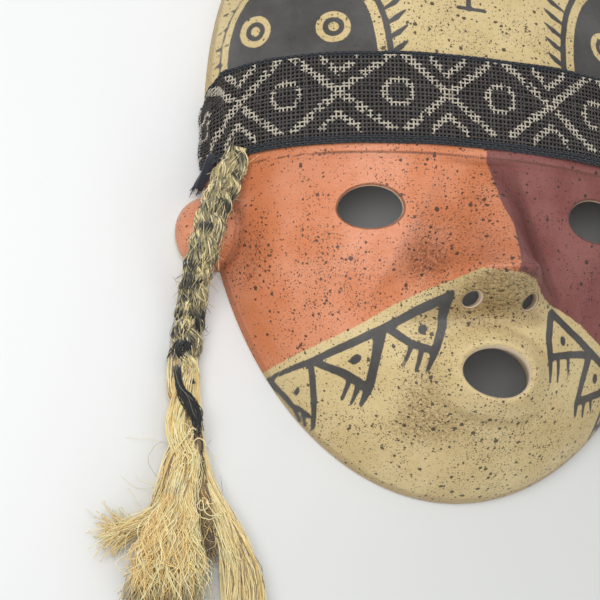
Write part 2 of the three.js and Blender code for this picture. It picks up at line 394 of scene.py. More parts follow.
def tubes(paths, half_width, half_height, sides, across=None):
    """Closed tubes along many paths of equal point count, as points and faces.

    paths is curve by point by coordinate. Half width and half height are numbers or arrays of curve
    by point. across gives the direction of the width, and is level where it isn't given.
    """
    curves, count = paths.shape[:2]
    ahead = unit(np.gradient(paths, axis=1))
    if across is None:
        across = np.cross(ahead, (0.05, 0.03, 1))
    across = unit(across)
    up = np.cross(across, ahead)
    turn = 2 * np.pi * np.arange(sides) / sides
    wide, high = (
        np.broadcast_to(half, (curves, count))[:, :, None, None] for half in (half_width, half_height)
    )
    ring = np.cos(turn)[:, None] * wide * across[:, :, None]
    ring = ring + np.sin(turn)[:, None] * high * up[:, :, None]
    points = (paths[:, :, None] + ring).reshape(-1, 3)
    number = np.arange(curves * count * sides).reshape(curves, count, sides)
    walls = strip(number[:, :-1], number[:, 1:], flipped=True)
    return points, [walls, number[:, 0, ::-1], number[:, -1]]


def thick_sheet(layers):
    """A closed sheet between two layers of points, each column by row by coordinate."""
    columns, rows = layers[0].shape[:2]
    count = columns * rows
    number = np.arange(count).reshape(columns, rows)
    a, b, c, d = number[:-1, :-1], number[1:, :-1], number[1:, 1:], number[:-1, 1:]
    front = np.stack([a, b, c, d], axis=-1).reshape(-1, 4)
    back = np.stack([a, d, c, b], axis=-1).reshape(-1, 4) + count
    edge = np.concatenate([number[:, 0], number[-1, 1:], number[-2::-1, -1], number[0, -2:0:-1]])
    points = np.concatenate([layer.reshape(-1, 3) for layer in layers])
    return points, [front, back, strip(edge, edge + count, flipped=True)]


def joined(parts):
    """Several sets of points and faces as one."""
    points, polygons, base = [], [], 0
    for part_points, part_faces in parts:
        points.append(part_points)
        polygons += [faces + base for faces in part_faces]
        base += len(part_points)
    return np.concatenate(points), polygons


# ---- The face's surface ----

def outline_half(y):
    """The squareness and the reach of the outline's half that a height is in."""
    below = y < MID_Y
    squareness = np.where(below, CHIN_SQUARENESS, CROWN_SQUARENESS)
    return squareness, np.where(below, CHIN_REACH, CROWN_REACH)


def outline_share(x, y, inset=0):
    """How far a place is from the middle of the face, as a share of the outline."""
    power, reach = outline_half(y)
    across = np.abs(x) / (HALF_WIDTH - inset)
    along = np.abs(y - MID_Y) / (reach - inset)
    return (across**power + along**power) ** (1 / power)


def outline_reach(turn, inset=0):
    return 1 / outline_share(np.cos(turn), MID_Y + np.sin(turn), inset)


def dome_height(x, y, inset=0):
    share = np.minimum(1, outline_share(x, y, inset))
    return (DOME_HEIGHT - inset) * (1 - share**DOME_FLATNESS) ** (1 / DOME_FULLNESS)


def nose_height(x, y):
    down = np.clip((NOSE_ROOT_Y - y) / (NOSE_ROOT_Y - NOSE_TIP_Y), 0, 1)
    half_width = NOSE_ROOT_HALF_WIDTH + (NOSE_TIP_HALF_WIDTH - NOSE_ROOT_HALF_WIDTH) * down**1.2
    wider_left = 1 + 0.25 * np.clip(-x / 10, 0, 1)
    narrower_right = 1 - 0.18 * np.clip(x / 6, 0, 1)
    half_width = half_width * np.where(x < 0, wider_left, narrower_right)
    side = np.sqrt((x / half_width) ** 2 + NOSE_RIDGE_ROUNDING) - math.sqrt(NOSE_RIDGE_ROUNDING)
    flank = np.clip(1 - side, 0, 1)
    profile = flank**2 * (2.25 - 1.25 * flank)
    return NOSE_HEIGHT * down**0.9 * profile * smoothstep(NOSE_BASE_Y, NOSE_DROP_Y, y)


def mound_height(mound, x, y):
    """A soft round mound. fall is how steep its side is beside its top."""
    across = (x - mound["x"]) / mound["half_width"]
    up = (y - mound["y"]) / mound["half_length"]
    return mound["height"] * np.exp(-((across**2 + up**2) ** mound["fall"]))


def hole_frame(hole, x, y, z=0):
    """A place counted from the middle of a hole, along the hole's own width and height."""
    turn = hole.get("turn", 0)
    tilt = hole.get("tilt", 0)
    across = x - hole["x"]
    up = (y - hole["y"]) * math.cos(tilt) + (z - hole.get("z", 0)) * math.sin(tilt)
    turned = across * math.cos(turn) + up * math.sin(turn)
    return turned, up * math.cos(turn) - across * math.sin(turn)


def half_height(hole, up):
    return np.where(up > 0, hole["upper"], hole["lower"])


def hole_share(hole, x, y, z=0, grow=0):
    """Under 1 inside a hole that is widened by grow."""
    across, up = hole_frame(hole, x, y, z)
    return np.hypot(across / (hole["half_width"] + grow), up / (half_height(hole, up) + grow))


def lip_height(x, y):
    """A rounded edge round the mouth, on a mound that falls away to the chin and cheeks."""
    share = hole_share(MOUTH, x, y)
    edge = LIP["height"] * np.exp(-(((share - LIP["reach"]) / LIP["width"]) ** 2))
    return edge + LIP["mound"] * smoothstep(LIP["outer"], LIP["inner"], share)


def collar_line(x):
    return COLLAR["y"] + COLLAR["slope"] * x


def collar_height(x, y):
    """The strip under the headband stands a little proud of the brow."""
    up = y - collar_line(x)
    return COLLAR["height"] * smoothstep(0, COLLAR["width"], up) * smoothstep(*COLLAR["fade"], up)


def hand_waviness(x, y):
    waves = np.sin(0.071 * x + 0.043 * y + 1) + np.sin(0.038 * x - 0.067 * y + 2.2)
    return 0.22 * (waves + 0.6 * np.sin(0.16 * x + 0.11 * y))


def ear_frame(x, y):
    """A place as shares of the nearer ear's half length along the rim and its reach across it."""
    turn = np.arctan2(y - MID_Y, np.abs(x))
    reach = np.hypot(x, y - MID_Y)
    along = (turn - EAR["turn"]) / EAR["half_turn"]
    out = reach - outline_reach(turn)
    return along, out / np.where(out > 0, EAR["outside"], EAR["inside"])


def ear_outside(along):
    """How far the ear carries the outline outwards."""
    return EAR["outside"] * np.sqrt(np.clip(1 - along**2, 0, 1))


def ear_edge(along):
    """The height of the ear's widest line, which falls to the rim at the ear's ends."""
    return EAR["edge"] * np.clip(1 - along**2, 0, 1) ** 0.35


def with_ears(x, y, height):
    along, across = ear_frame(x, y)
    room = 1 - along**2 - across**2
    hollow = EAR["hollow"] * np.exp(-((along / 0.55) ** 2) - ((across - 0.1) / 0.4) ** 2)
    inside = np.clip(room, 0, 1)
    lobe = ear_edge(along) + EAR["height"] * np.sqrt(inside) - hollow
    both = (height + lobe + np.sqrt((height - lobe) ** 2 + EAR["blend"] ** 2 * inside)) / 2
    return np.where(room > -1e-6, both, height)


def face_height(x, y):
    height = dome_height(x, y) + nose_height(x, y) + mound_height(MUZZLE, x, y) + lip_height(x, y)
    inside_rim = smoothstep(1, 0.85, outline_share(x, y))
    wings = sum(mound_height(wing, x, y) for wing in WINGS)
    return height + inside_rim * (wings + collar_height(x, y) + hand_waviness(x, y))


def outer_height(x, y):
    return with_ears(x, y, face_height(x, y))


def inner_height(x, y):
    features = nose_height(x, y) + mound_height(MUZZLE, x, y)
    return dome_height(x, y, WALL) + INNER_RELIEF * features


# ---- The shell's mesh ----

def ear_reach(turn):
    return ear_outside(ear_frame(np.cos(turn), MID_Y + np.sin(turn))[0])


def even_turns():
    """Directions from the middle of the face that cut the outline into equal lengths."""
    fine = np.linspace(-np.pi, np.pi, OUTLINE_SAMPLES)
    reach = outline_reach(fine) + ear_reach(fine)
    along = path_lengths(np.column_stack([reach * np.cos(fine), reach * np.sin(fine)]))
    return np.interp(np.linspace(0, along[-1], SHELL_SEGMENTS + 1)[:-1], along, fine)


def surface_grid(turns, reach, height, rings, lobe=0):
    """Rings of places, evenly spaced over the surface along each direction, without the middle.

    The last rings are carried outwards by lobe.
    """
    share = np.linspace(0, 1, SURFACE_SAMPLES)[:, None]
    x = share * reach * np.cos(turns)
    y = MID_Y + share * reach * np.sin(turns)
    lines = np.stack([x, y, height(x, y)], axis=-1)
    columns = []
    for line in range(len(turns)):
        along = path_lengths(lines[:, line])
        columns.append(np.interp(np.linspace(0, along[-1], rings + 1)[1:], along, share[:, 0]))
    even = np.stack(columns, axis=1)
    radius = even * reach + lobe * np.clip((even - EAR_SHARE) / (1 - EAR_SHARE), 0, 1) ** 1.3
    return radius * np.cos(turns), MID_Y + radius * np.sin(turns)


def ring_faces(rings, count, start=0):
    """The faces between rings of points that follow each other."""
    number = start + np.arange(rings * count).reshape(rings, count)
    return strip(number[:-1], number[1:])


def hole_place(hole, turns, grow, height):
    """Places round a hole's edge, moved outwards by grow millimetres, on the given surface."""
    across = (hole["half_width"] + grow) * np.cos(turns)
    up = (half_height(hole, np.sin(turns)) + grow) * np.sin(turns)
    turn = hole.get("turn", 0)
    x = hole["x"] + across * math.cos(turn) - up * math.sin(turn)
    up = across * math.sin(turn) + up * math.cos(turn)
    if "tilt" not in hole:
        return x, hole["y"] + up
    low = np.full(len(turns), NOSTRIL_LOWEST_Y)
    high = np.full(len(turns), NOSTRIL_HIGHEST_Y)
    for _ in range(SEARCH_STEPS):
        middle = (low + high) / 2
        above = hole_frame(hole, x, middle, height(x, middle))[1] > up
        high = np.where(above, middle, high)
        low = np.where(above, low, middle)
    return x, (low + high) / 2


def face_edges(faces):
    return np.concatenate([faces[:, [k, (k + 1) % 4]] for k in range(4)])


def open_loop(faces, wanted):
    """The open edge among the wanted points, as point numbers in order."""
    edges = face_edges(faces)
    edges = edges[wanted[edges].all(axis=1)]
    both = set(map(tuple, edges.tolist()))
    following = {b: a for a, b in both if (b, a) not in both}
    loop = [min(following)]
    while following[loop[-1]] != loop[0]:
        loop.append(following[loop[-1]])
    return np.array(loop)


def cut_hole(x, y, z, faces, hole, height, grow):
    """Takes a hole's faces away and draws the edge onto the hole's outline.

    Returns the faces that stay, and the edge's point numbers and their directions in order.
    """
    room = hole_share(hole, x, y, z, grow)
    near = np.abs(x - hole["x"]) < 3 * hole["half_width"]
    near &= np.abs(y - hole["y"]) < 3 * hole["upper"]
    inside = near & (room < 1)
    faces = faces[~inside[faces].any(axis=1)]
    loop = open_loop(faces, near & (room < 2.5))
    across, up = hole_frame(hole, x[loop], y[loop], z[loop])
    turns = np.unwrap(np.arctan2(up / half_height(hole, up), across / hole["half_width"]))
    whole = math.copysign(2 * np.pi, turns[-1] - turns[0])
    for _ in range(RELAX_STEPS):
        before = np.concatenate([[turns[-1] - whole], turns[:-1]])
        after = np.concatenate([turns[1:], [turns[0] + whole]])
        turns = (before + 2 * turns + after) / 4
    x[loop], y[loop] = hole_place(hole, turns, grow, height)
    if "tilt" not in hole:
        relax(x, y, faces, near & (room < 1.8), loop)
    z[:] = np.where(near, height(x, y), z)
    return faces, loop, turns


def relax(x, y, faces, near, fixed):
    """Evens out the points round a hole in the plane of the face."""
    edges = face_edges(faces[near[faces].any(axis=1)])
    free = near.copy()
    free[fixed] = False
    number = np.bincount(edges[:, 0], minlength=len(x))
    free &= number > 0
    for _ in range(RELAX_STEPS):
        for values in (x, y):
            total = np.bincount(edges[:, 0], weights=values[edges[:, 1]], minlength=len(x))
            total += np.bincount(edges[:, 1], weights=values[edges[:, 0]], minlength=len(x))
            values[free] = total[free] / (2 * number[free])


def zipped(first, first_turns, second, second_turns):
    """Triangles between two loops of points whose directions rise in step."""
    faces = []
    first_next = np.append(first_turns[1:], first_turns[0] + 2 * np.pi)
    second_next = np.append(second_turns[1:], second_turns[0] + 2 * np.pi)
    i = j = 0
    while i < len(first) or j < len(second):
        a = first[i % len(first)]
        b = second[j % len(second)]
        if j == len(second) or (i < len(first) and first_next[i] <= second_next[j]):
            faces.append((a, first[(i + 1) % len(first)], b))
            i += 1
        else:
            faces.append((a, second[(j + 1) % len(second)], b))
            j += 1
    return np.array(faces)


def in_order(loop, turns):
    """A loop turned so that its directions rise from about zero."""
    if turns[-1] < turns[0]:
        loop, turns = loop[::-1], turns[::-1]
    turns = turns % (2 * np.pi)
    start = int(np.argmin(turns))
    return np.roll(loop, -start), np.roll(turns, -start)


def hole_wall(hole, count):
    """Rings of points from a rounded outer edge through the wall to the inner surface."""
    turns = 2 * np.pi * (np.arange(count) + 0.5) / count
    tilt = hole.get("tilt", 0)
    axis = np.array([0, -math.sin(tilt), math.cos(tilt)])
    rounding = hole.get("round", HOLE_ROUND)
    rings = []
    for bend in np.radians(np.linspace(0, 90, ROUND_RINGS)):
        x, y = hole_place(hole, turns, rounding * (1 - math.sin(bend)), outer_height)
        drop = rounding * (1 - math.cos(bend))
        rings.append(np.column_stack([x, y, outer_height(x, y)]) - drop * axis)
    x, y = hole_place(hole, turns, 0 if "tilt" in hole else HOLE_FLARE, inner_height)
    inner = np.column_stack([x, y, inner_height(x, y)])
    rounded = rings[-1]
    rings += [rounded + (inner - rounded) * share for share in (0.25, 0.5, 0.75, 1)]
    return turns, rings


def shell_mesh():
    """The clay as one closed mesh. Its outer surface's points come first and then the inner's."""
    turns = even_turns()
    count = SHELL_SEGMENTS
    x, y = surface_grid(turns, outline_reach(turns), face_height, OUTER_RINGS, ear_reach(turns))
    outer = [x.ravel(), y.ravel(), np.maximum(outer_height(x, y), RIM_ROUND).ravel()]
    outer_faces = ring_faces(OUTER_RINGS, count)
    x, y = surface_grid(turns, outline_reach(turns, WALL), inner_height, INNER_RINGS)
    inner = [x.ravel(), y.ravel(), inner_height(x, y).ravel()]
    inner_faces = ring_faces(INNER_RINGS, count)
    extra, quads, triangles = [], [], []
    inner_start = OUTER_RINGS * count
    next_point = inner_start + INNER_RINGS * count
    for hole in (LEFT_EYE, RIGHT_EYE, MOUTH, LEFT_NOSTRIL, RIGHT_NOSTRIL):
        small = "tilt" in hole
        margin = HOLE_MARGIN * (0.8 if small else 1) + hole.get("round", HOLE_ROUND) - HOLE_ROUND
        outer_faces, edge, edge_turns = cut_hole(*outer, outer_faces, hole, outer_height, margin)
        margin = 1 if small else 1 + HOLE_FLARE
        inner_faces, back, back_turns = cut_hole(*inner, inner_faces, hole, inner_height, margin)
        wall_count = SMALL_HOLE_SIDES if small else LARGE_HOLE_SIDES
        wall_turns, rings = hole_wall(hole, wall_count)
        numbers = next_point + np.arange(len(rings) * wall_count).reshape(len(rings), wall_count)
        extra += rings
        triangles.append(zipped(*in_order(edge, edge_turns), numbers[0], wall_turns))
        triangles.append(zipped(*in_order(back + inner_start, back_turns), numbers[-1], wall_turns))
        quads.append(ring_faces(len(rings), wall_count, next_point))
        next_point += len(rings) * wall_count
    points = [np.column_stack(outer), np.column_stack(inner), *extra]
    side = np.arange(count)
    for start, height in ((0, outer_height), (inner_start, inner_height)):
        points.append(np.array([[0, MID_Y, height(0.0, MID_Y)]]))
        middle = np.full(count, next_point)
        triangles.append(np.stack([middle, start + side, start + np.roll(side, -1)], axis=1))
        next_point += 1
    rim_points, rim_faces = rim_rings(points[0][-count:], turns, next_point)
    join = strip(inner_start - count + side, next_point + side)
    last_rim = next_point + len(rim_points) - count
    close = strip(last_rim + side, inner_start + (INNER_RINGS - 1) * count + side)
    quads += [outer_faces, inner_faces + inner_start, join, rim_faces, close]
    return np.concatenate([*points, rim_points]), [np.concatenate(quads), np.concatenate(triangles)]


def rim_rings(edge, turns, start):
    """Rings that take the outer surface's edge round and under to where the mask lies."""
    count = len(edge)
    along, _ = ear_frame(edge[:, 0], edge[:, 1])
    reach = np.hypot(edge[:, 0], edge[:, 1] - MID_Y)
    under = RIM_ROUND + EAR["under"] * ear_outside(along)
    top = np.maximum(ear_edge(along), RIM_ROUND)
    rings = []
    for bend in np.radians(np.linspace(15, 90, RIM_RINGS)):
        drawn = reach - under * (1 - math.cos(bend))
        x, y = drawn * np.cos(turns), MID_Y + drawn * np.sin(turns)
        rings.append(np.column_stack([x, y, top * (1 - math.sin(bend))]))
    return np.concatenate(rings), ring_faces(len(rings), count, start)


# ---- The paint on the clay ----

# A distance that is far from any paint.
FAR = 1e3


def strokes_distance(x, y, strokes):
    """Distance to the nearest painted stroke's edge, under 0 inside a stroke.

    A stroke is a line of points, each with its x, its y and half the stroke's width there.
    """
    best = np.full(len(x), FAR)
    for points in strokes:
        for (ax, ay, aw), (bx, by, bw) in zip(points, points[1:]):
            dx, dy = bx - ax, by - ay
            t = np.clip(((x - ax) * dx + (y - ay) * dy) / (dx * dx + dy * dy), 0, 1)
            away = np.hypot(x - ax - t * dx, y - ay - t * dy) - (aw + (bw - aw) * t)
            best = np.minimum(best, away)
    return best


def above_line(x, y, points):
    """How far a place is above a line across the face, in millimetres."""
    line_x, line_y = np.array(points, float).T
    slope = np.gradient(line_y, line_x)
    return (y - np.interp(x, line_x, line_y)) / np.sqrt(1 + np.interp(x, line_x, slope) ** 2)


# Where the cream muzzle meets the orange and the red, and where the red starts down the nose.
MUZZLE_LINE = [
    (-90, -85), (-70, -79), (-62, -76), (-54, -73), (-44, -68.8), (-35, -63.8), (-26, -60.8),
    (-18, -59.6), (-13, -58.6), (-1, -60), (9, -61), (14, -61.6), (27, -62.6), (38, -66.6), (49, -72),
    (70, -79), (90, -85),
]
RIDGE_LINE = [(-70, 3), (-60, -1), (-48, 2), (-39, 3), (-30, 0.5), (-20, 0), (-7, 0), (40, 0)]

# The toothed figure beside the mouth. Its outermost tooth is the same on both sides.
OUTER_TOOTH = [
    [(69.2, -82.6, 0.5), (61.4, -92.1, 0.5), (55.7, -96.9, 0.6)],
    [(58.3, -81, 0.9), (55.8, -92, 0.9), (53.8, -101, 0.5)],
    [(60.9, -92.7, 0.4), (58.1, -97, 0.3)],
    [(58.2, -95, 0.4), (56, -99.3, 0.3)],
    [(61.3, -88.8, 0.8), (61, -87.6, 0.8)],
]
TEETH_LEFT = [
    [
        (-69.2, -82, 0.8), (-58, -79.3, 1.2), (-47, -75.3, 1.5), (-37, -71.3, 1.6), (-27, -66.5, 1.6),
        (-19, -64, 1.5),
    ],
    *[[(-x, y, half_width) for x, y, half_width in stroke] for stroke in OUTER_TOOTH],
    [(-38, -73, 1.9), (-39, -82, 1.5), (-40, -91, 1.5), (-41.5, -96, 0.7)],
    [(-57, -80.2, 1), (-48, -85, 1.3), (-40, -91, 1.3)],
    [(-46, -87, 0.9), (-47.5, -93, 0.6)],
    [(-43, -89, 1), (-44.5, -95, 0.6)],
    [(-45.4, -81, 1.5), (-44.7, -80.6, 1.5)],
    [(-19, -65, 1.8), (-18.6, -72, 1.5), (-21, -81, 1.3), (-23, -88, 0.5)],
    [(-35, -72, 1.3), (-28, -78, 1.2), (-21, -81, 1.3)],
    [(-28, -78, 0.9), (-30.5, -85, 0.5)],
    [(-25, -80, 1), (-26.2, -87, 0.6)],
    [(-25, -73.4, 1.4), (-25, -72.6, 1.4)],
]
TEETH_RIGHT = [
    [(24, -65, 1.6), (33, -70, 1.5), (44, -75, 1.5), (50, -77.4, 1.4), (69.2, -82, 0.8)],
    [(23, -66, 1.6), (22, -75, 1.5), (23, -81, 1.3), (24, -89, 0.6)],
    [(23, -81, 1.3), (33, -78, 1.2), (43, -76, 1.4)],
    [(27, -81, 0.9), (28, -88, 0.5)],
    [(32, -79, 0.9), (33, -86, 0.5)],
    [(29, -74.5, 1.3), (29, -73.7, 1.3)],
    [(43, -77, 1.6), (41, -86, 1.4), (40, -93, 1.2), (41, -97, 0.6)],
    [(41, -92, 1.2), (52, -87, 1.3), (58, -81, 1.3)],
    [(44, -91, 0.9), (45, -96, 0.5)],
    [(47.5, -89.5, 0.9), (49, -94, 0.5)],
    [(48, -83.4, 1.3), (48, -82.6, 1.3)],
    *OUTER_TOOTH,
]

# The leafy stem between the crown's arches.
CROWN_STEM = [
    [(-7, 51, 0.8), (3.2, 50.2, 0.8)],
    [(-3, 50.5, 1), (-2.2, 62, 1), (-3.4, 80, 0.5)],
    [(-2.6, 56, 0.5), (-6, 60, 1.1), (-10, 61.5, 0.4)],
    [(-2.4, 58, 0.5), (1.6, 62, 1.1), (5.6, 63.5, 0.4)],
    [(-2.3, 64, 0.5), (-6, 68, 1), (-9.6, 69.5, 0.4)],
    [(-2.4, 66, 0.5), (1.2, 70, 1), (4.8, 71.5, 0.4)],
]

# The crown's dark arches, and the ringed dots in each: x, y, half width and half height.
ARCH = {"x": 63, "foot": 20, "height": 49, "outer_half": 24, "inner_half": 25}
ARCH_DOTS = [(78, 45.5, 4.6, 6.6), (53, 42.5, 6, 6.4)]
LEAF_COUNT = 7
TICK_COUNT = 11


def arch_distance(x, y, side):
    """Distance to the edge of one of the crown's dark arches, under 0 inside it."""
    across = x - side * ARCH["x"]
    half_width = np.where(across * side > 0, ARCH["outer_half"], ARCH["inner_half"])
    up = np.maximum(y - ARCH["foot"], 0) / ARCH["height"]
    beyond = (across / half_width) ** 2 + up**3 - 1
    slope = np.hypot(2 * across / half_width**2, 3 * up**2 / ARCH["height"])
    return beyond / np.maximum(slope, 0.03)


def crown_strokes(side):
    """The leaves beside an arch, and the ticks along the mask's edge."""
    leaves, ticks = [], []
    for step in range(LEAF_COUNT):
        x, y = side * (34.5 + 0.12 * step**1.9), 30 + 6.2 * step
        leaves.append([(x, y, 0.5), (x - side * 4.2, y + 3, 1.15), (x - side * 7.6, y + 6, 0.4)])
    for step in range(TICK_COUNT):
        y = 22 + 7.2 * step
        x = side * (reach_across(y) - 4.4)
        ticks.append([(x, y, 0.35), (x + side * 2.6, y - 0.5, 0.55)])
    return leaves + ticks


def crown_figure(x, y, side):
    """A dark arch with two ringed dots in it, a black outline round it and strokes beside that."""
    arch = arch_distance(x, y, side)
    figure = arch
    for dot_x, dot_y, width, height in ARCH_DOTS:
        away = np.hypot((x - side * dot_x) / width, (y - dot_y) / height)
        figure = np.maximum(figure, (1 - away) * width)
        figure = np.minimum(figure, (away - 0.62) * width)
        figure = np.maximum(figure, (0.3 - away) * width)
    inward = (x - side * ARCH["x"]) * side < 0
    outline = np.abs(arch - np.where(inward, 4.2, 1.9)) - np.where(inward, 1, 0.22)
    figure = np.minimum(figure, outline)
    figure = np.minimum(figure, strokes_distance(x, y, crown_strokes(side)))
    return np.where(y > 0, figure, FAR)


def ink_distance(x, y):
    """Distance to the edge of the black paint, under 0 inside it."""
    ink = strokes_distance(x, y, TEETH_LEFT + TEETH_RIGHT + CROWN_STEM)
    for side in (-1, 1):
        ink = np.minimum(ink, crown_figure(x, y, side))
    return ink


def dark_line_distance(x, y, z):
    """Distance to the nearest dark line: under the headband, or round the edge of an eye or a
    nostril.
    """
    away = np.abs(y - collar_line(x))
    for hole, grow in ((LEFT_EYE, 0.5), (RIGHT_EYE, 0.5), (LEFT_NOSTRIL, 0.4), (RIGHT_NOSTRIL, 0.4)):
        edge = np.abs(hole_share(hole, x, y, z, grow) - 1) * hole["upper"]
        away = np.minimum(away, edge + 0.12)
    return away


# Where the dark specks and the smoke lie thickest; under the nose's tip, below the mouth and beside
# the braid the smoke is painted shade. Each blot's x, y, half width, half height and strength.
CLOUDS = [
    (-14, -36, 13, 18, 0.8), (-24.5, -49, 5.5, 8, 1.5), (-1, -63, 14, 5, 2), (-3, -22, 10, 12, 0.4),
    (-24, -94, 9, 12, 1.2), (5, -107, 30, 10, 0.7), (-62, -42, 14, 22, 0.35), (-16, -72, 16, 8, 0.8),
    (18, -46, 5, 12, 0.35), (-40, 34, 20, 16, 0.2), (-52, -98, 12, 6, 0.4), (-80, -38, 6, 14, 0.9),
    (-16, -104, 13, 5, 0.8), (-8, 44, 26, 14, 0.5), (-45, -52, 20, 14, 0.5),
]

# Where the slip is darker, in the same way: painted shade beside the nose's right flank and along the
# braid, and a deeper tone of the slip in the other blots.
SLIP_AND_SHADE_BLOTS = [
    (-8, -50, 8, 13, 1), (-80, -34, 6, 16, 0.3), (14, -42, 6, 16, 0.8), (-66, -12, 16, 6, 0.35),
]


def blots(x, y, table):
    """How strongly a table of soft round blots marks a place."""
    parts = [
        depth * np.exp(-(((x - middle_x) / half_x) ** 2) - ((y - middle_y) / half_y) ** 2)
        for middle_x, middle_y, half_x, half_y, depth in table
    ]
    return np.clip(sum(parts), 0, 2)


def hollowness(x, y):
    """How strongly the surface hollows at a place, over a few millimetres."""
    step = 3.0
    shifts = ((step, 0), (-step, 0), (0, step), (0, -step))
    around = sum(outer_height(x + dx, y + dy) for dx, dy in shifts)
    return (around - 4 * outer_height(x, y)) / step**2


# Each size of dark speck: how far apart in the clay, the largest radius, and the share of them that
# shows where specks are few and where they are many.
SPECKS = [
    (2.4, 0.95, 0.04, 0.22),
    (1.6, 0.58, 0.12, 0.5),
    (1.0, 0.34, 0.22, 0.85),
    (0.6, 0.21, 0.25, 0.9),
]

# Each slip's two tones, and the bare clay's at an opening's edge and behind the mask, where it is
# darkened as painted shade.
ORANGE_SLIP = ((0.63, 0.21, 0.085, 1), (0.71, 0.29, 0.16, 1))
RED_SLIP = ((0.215, 0.066, 0.06, 1), (0.28, 0.107, 0.096, 1))
CREAM_SLIP = ((0.61, 0.47, 0.228, 1), (0.7, 0.56, 0.3, 1))
BLACK_SLIP = ((0.045, 0.044, 0.045, 1), (0.085, 0.084, 0.086, 1))
BARE_CLAY_AND_SHADE = ((0.66, 0.53, 0.38, 1), (0.24, 0.15, 0.09, 1))

# Colours that darken what they are mixed into.
WORN = (0.75, 0.6, 0.42, 1)
SLIP_AND_SHADE_TONE = (0.77, 0.68, 0.61, 1)
# Painted shade for the face's hollows.
CREASE_SHADE = (0.3, 0.2, 0.11, 1)
SMOKE_AND_SHADE = (0.42, 0.34, 0.26, 1)
SPECK = (0.035, 0.028, 0.024, 1)
DARK_LINE_TONE = (0.13, 0.05, 0.03, 1)


def speck_mask(paint, place, cloud):
    """1 in the dark specks, which come in several sizes and lie in clouds."""
    cluster = paint.noise(place, 0.055, 3.0, 0.6)
    cluster = paint.math("ADD", cluster, paint.math("MULTIPLY_ADD", cloud, 0.4, -0.05))
    shift = paint.node("TexNoise", {"Vector": place, "Scale": 2.2}, "Color")
    ragged = paint.node("VectorMath", {0: place, 1: shift}, operation="ADD")
    mask = None
    for cell, size, few, many in SPECKS:
        inputs = {"Vector": ragged, "Scale": 1 / cell, "Randomness": 1}
        away = paint.node("TexVoronoi", inputs)
        draw = paint.node("SeparateColor", {0: paint.node("TexVoronoi", inputs, "Color")}, 0)
        shown = paint.math("LESS_THAN", draw, paint.ramp(cluster, 0.38, 0.8, few, many))
        spare = paint.math("FRACT", paint.math("MULTIPLY", draw, 37))
        radius = paint.math("MULTIPLY_ADD", spare, 0.6 * size / cell, 0.4 * size / cell)
        dark = paint.ramp(paint.math("SUBTRACT", radius, away), -0.03, 0.03)
        dark = paint.math("MULTIPLY", dark, shown)
        mask = dark if mask is None else paint.math("MAXIMUM", mask, dark)
    return mask


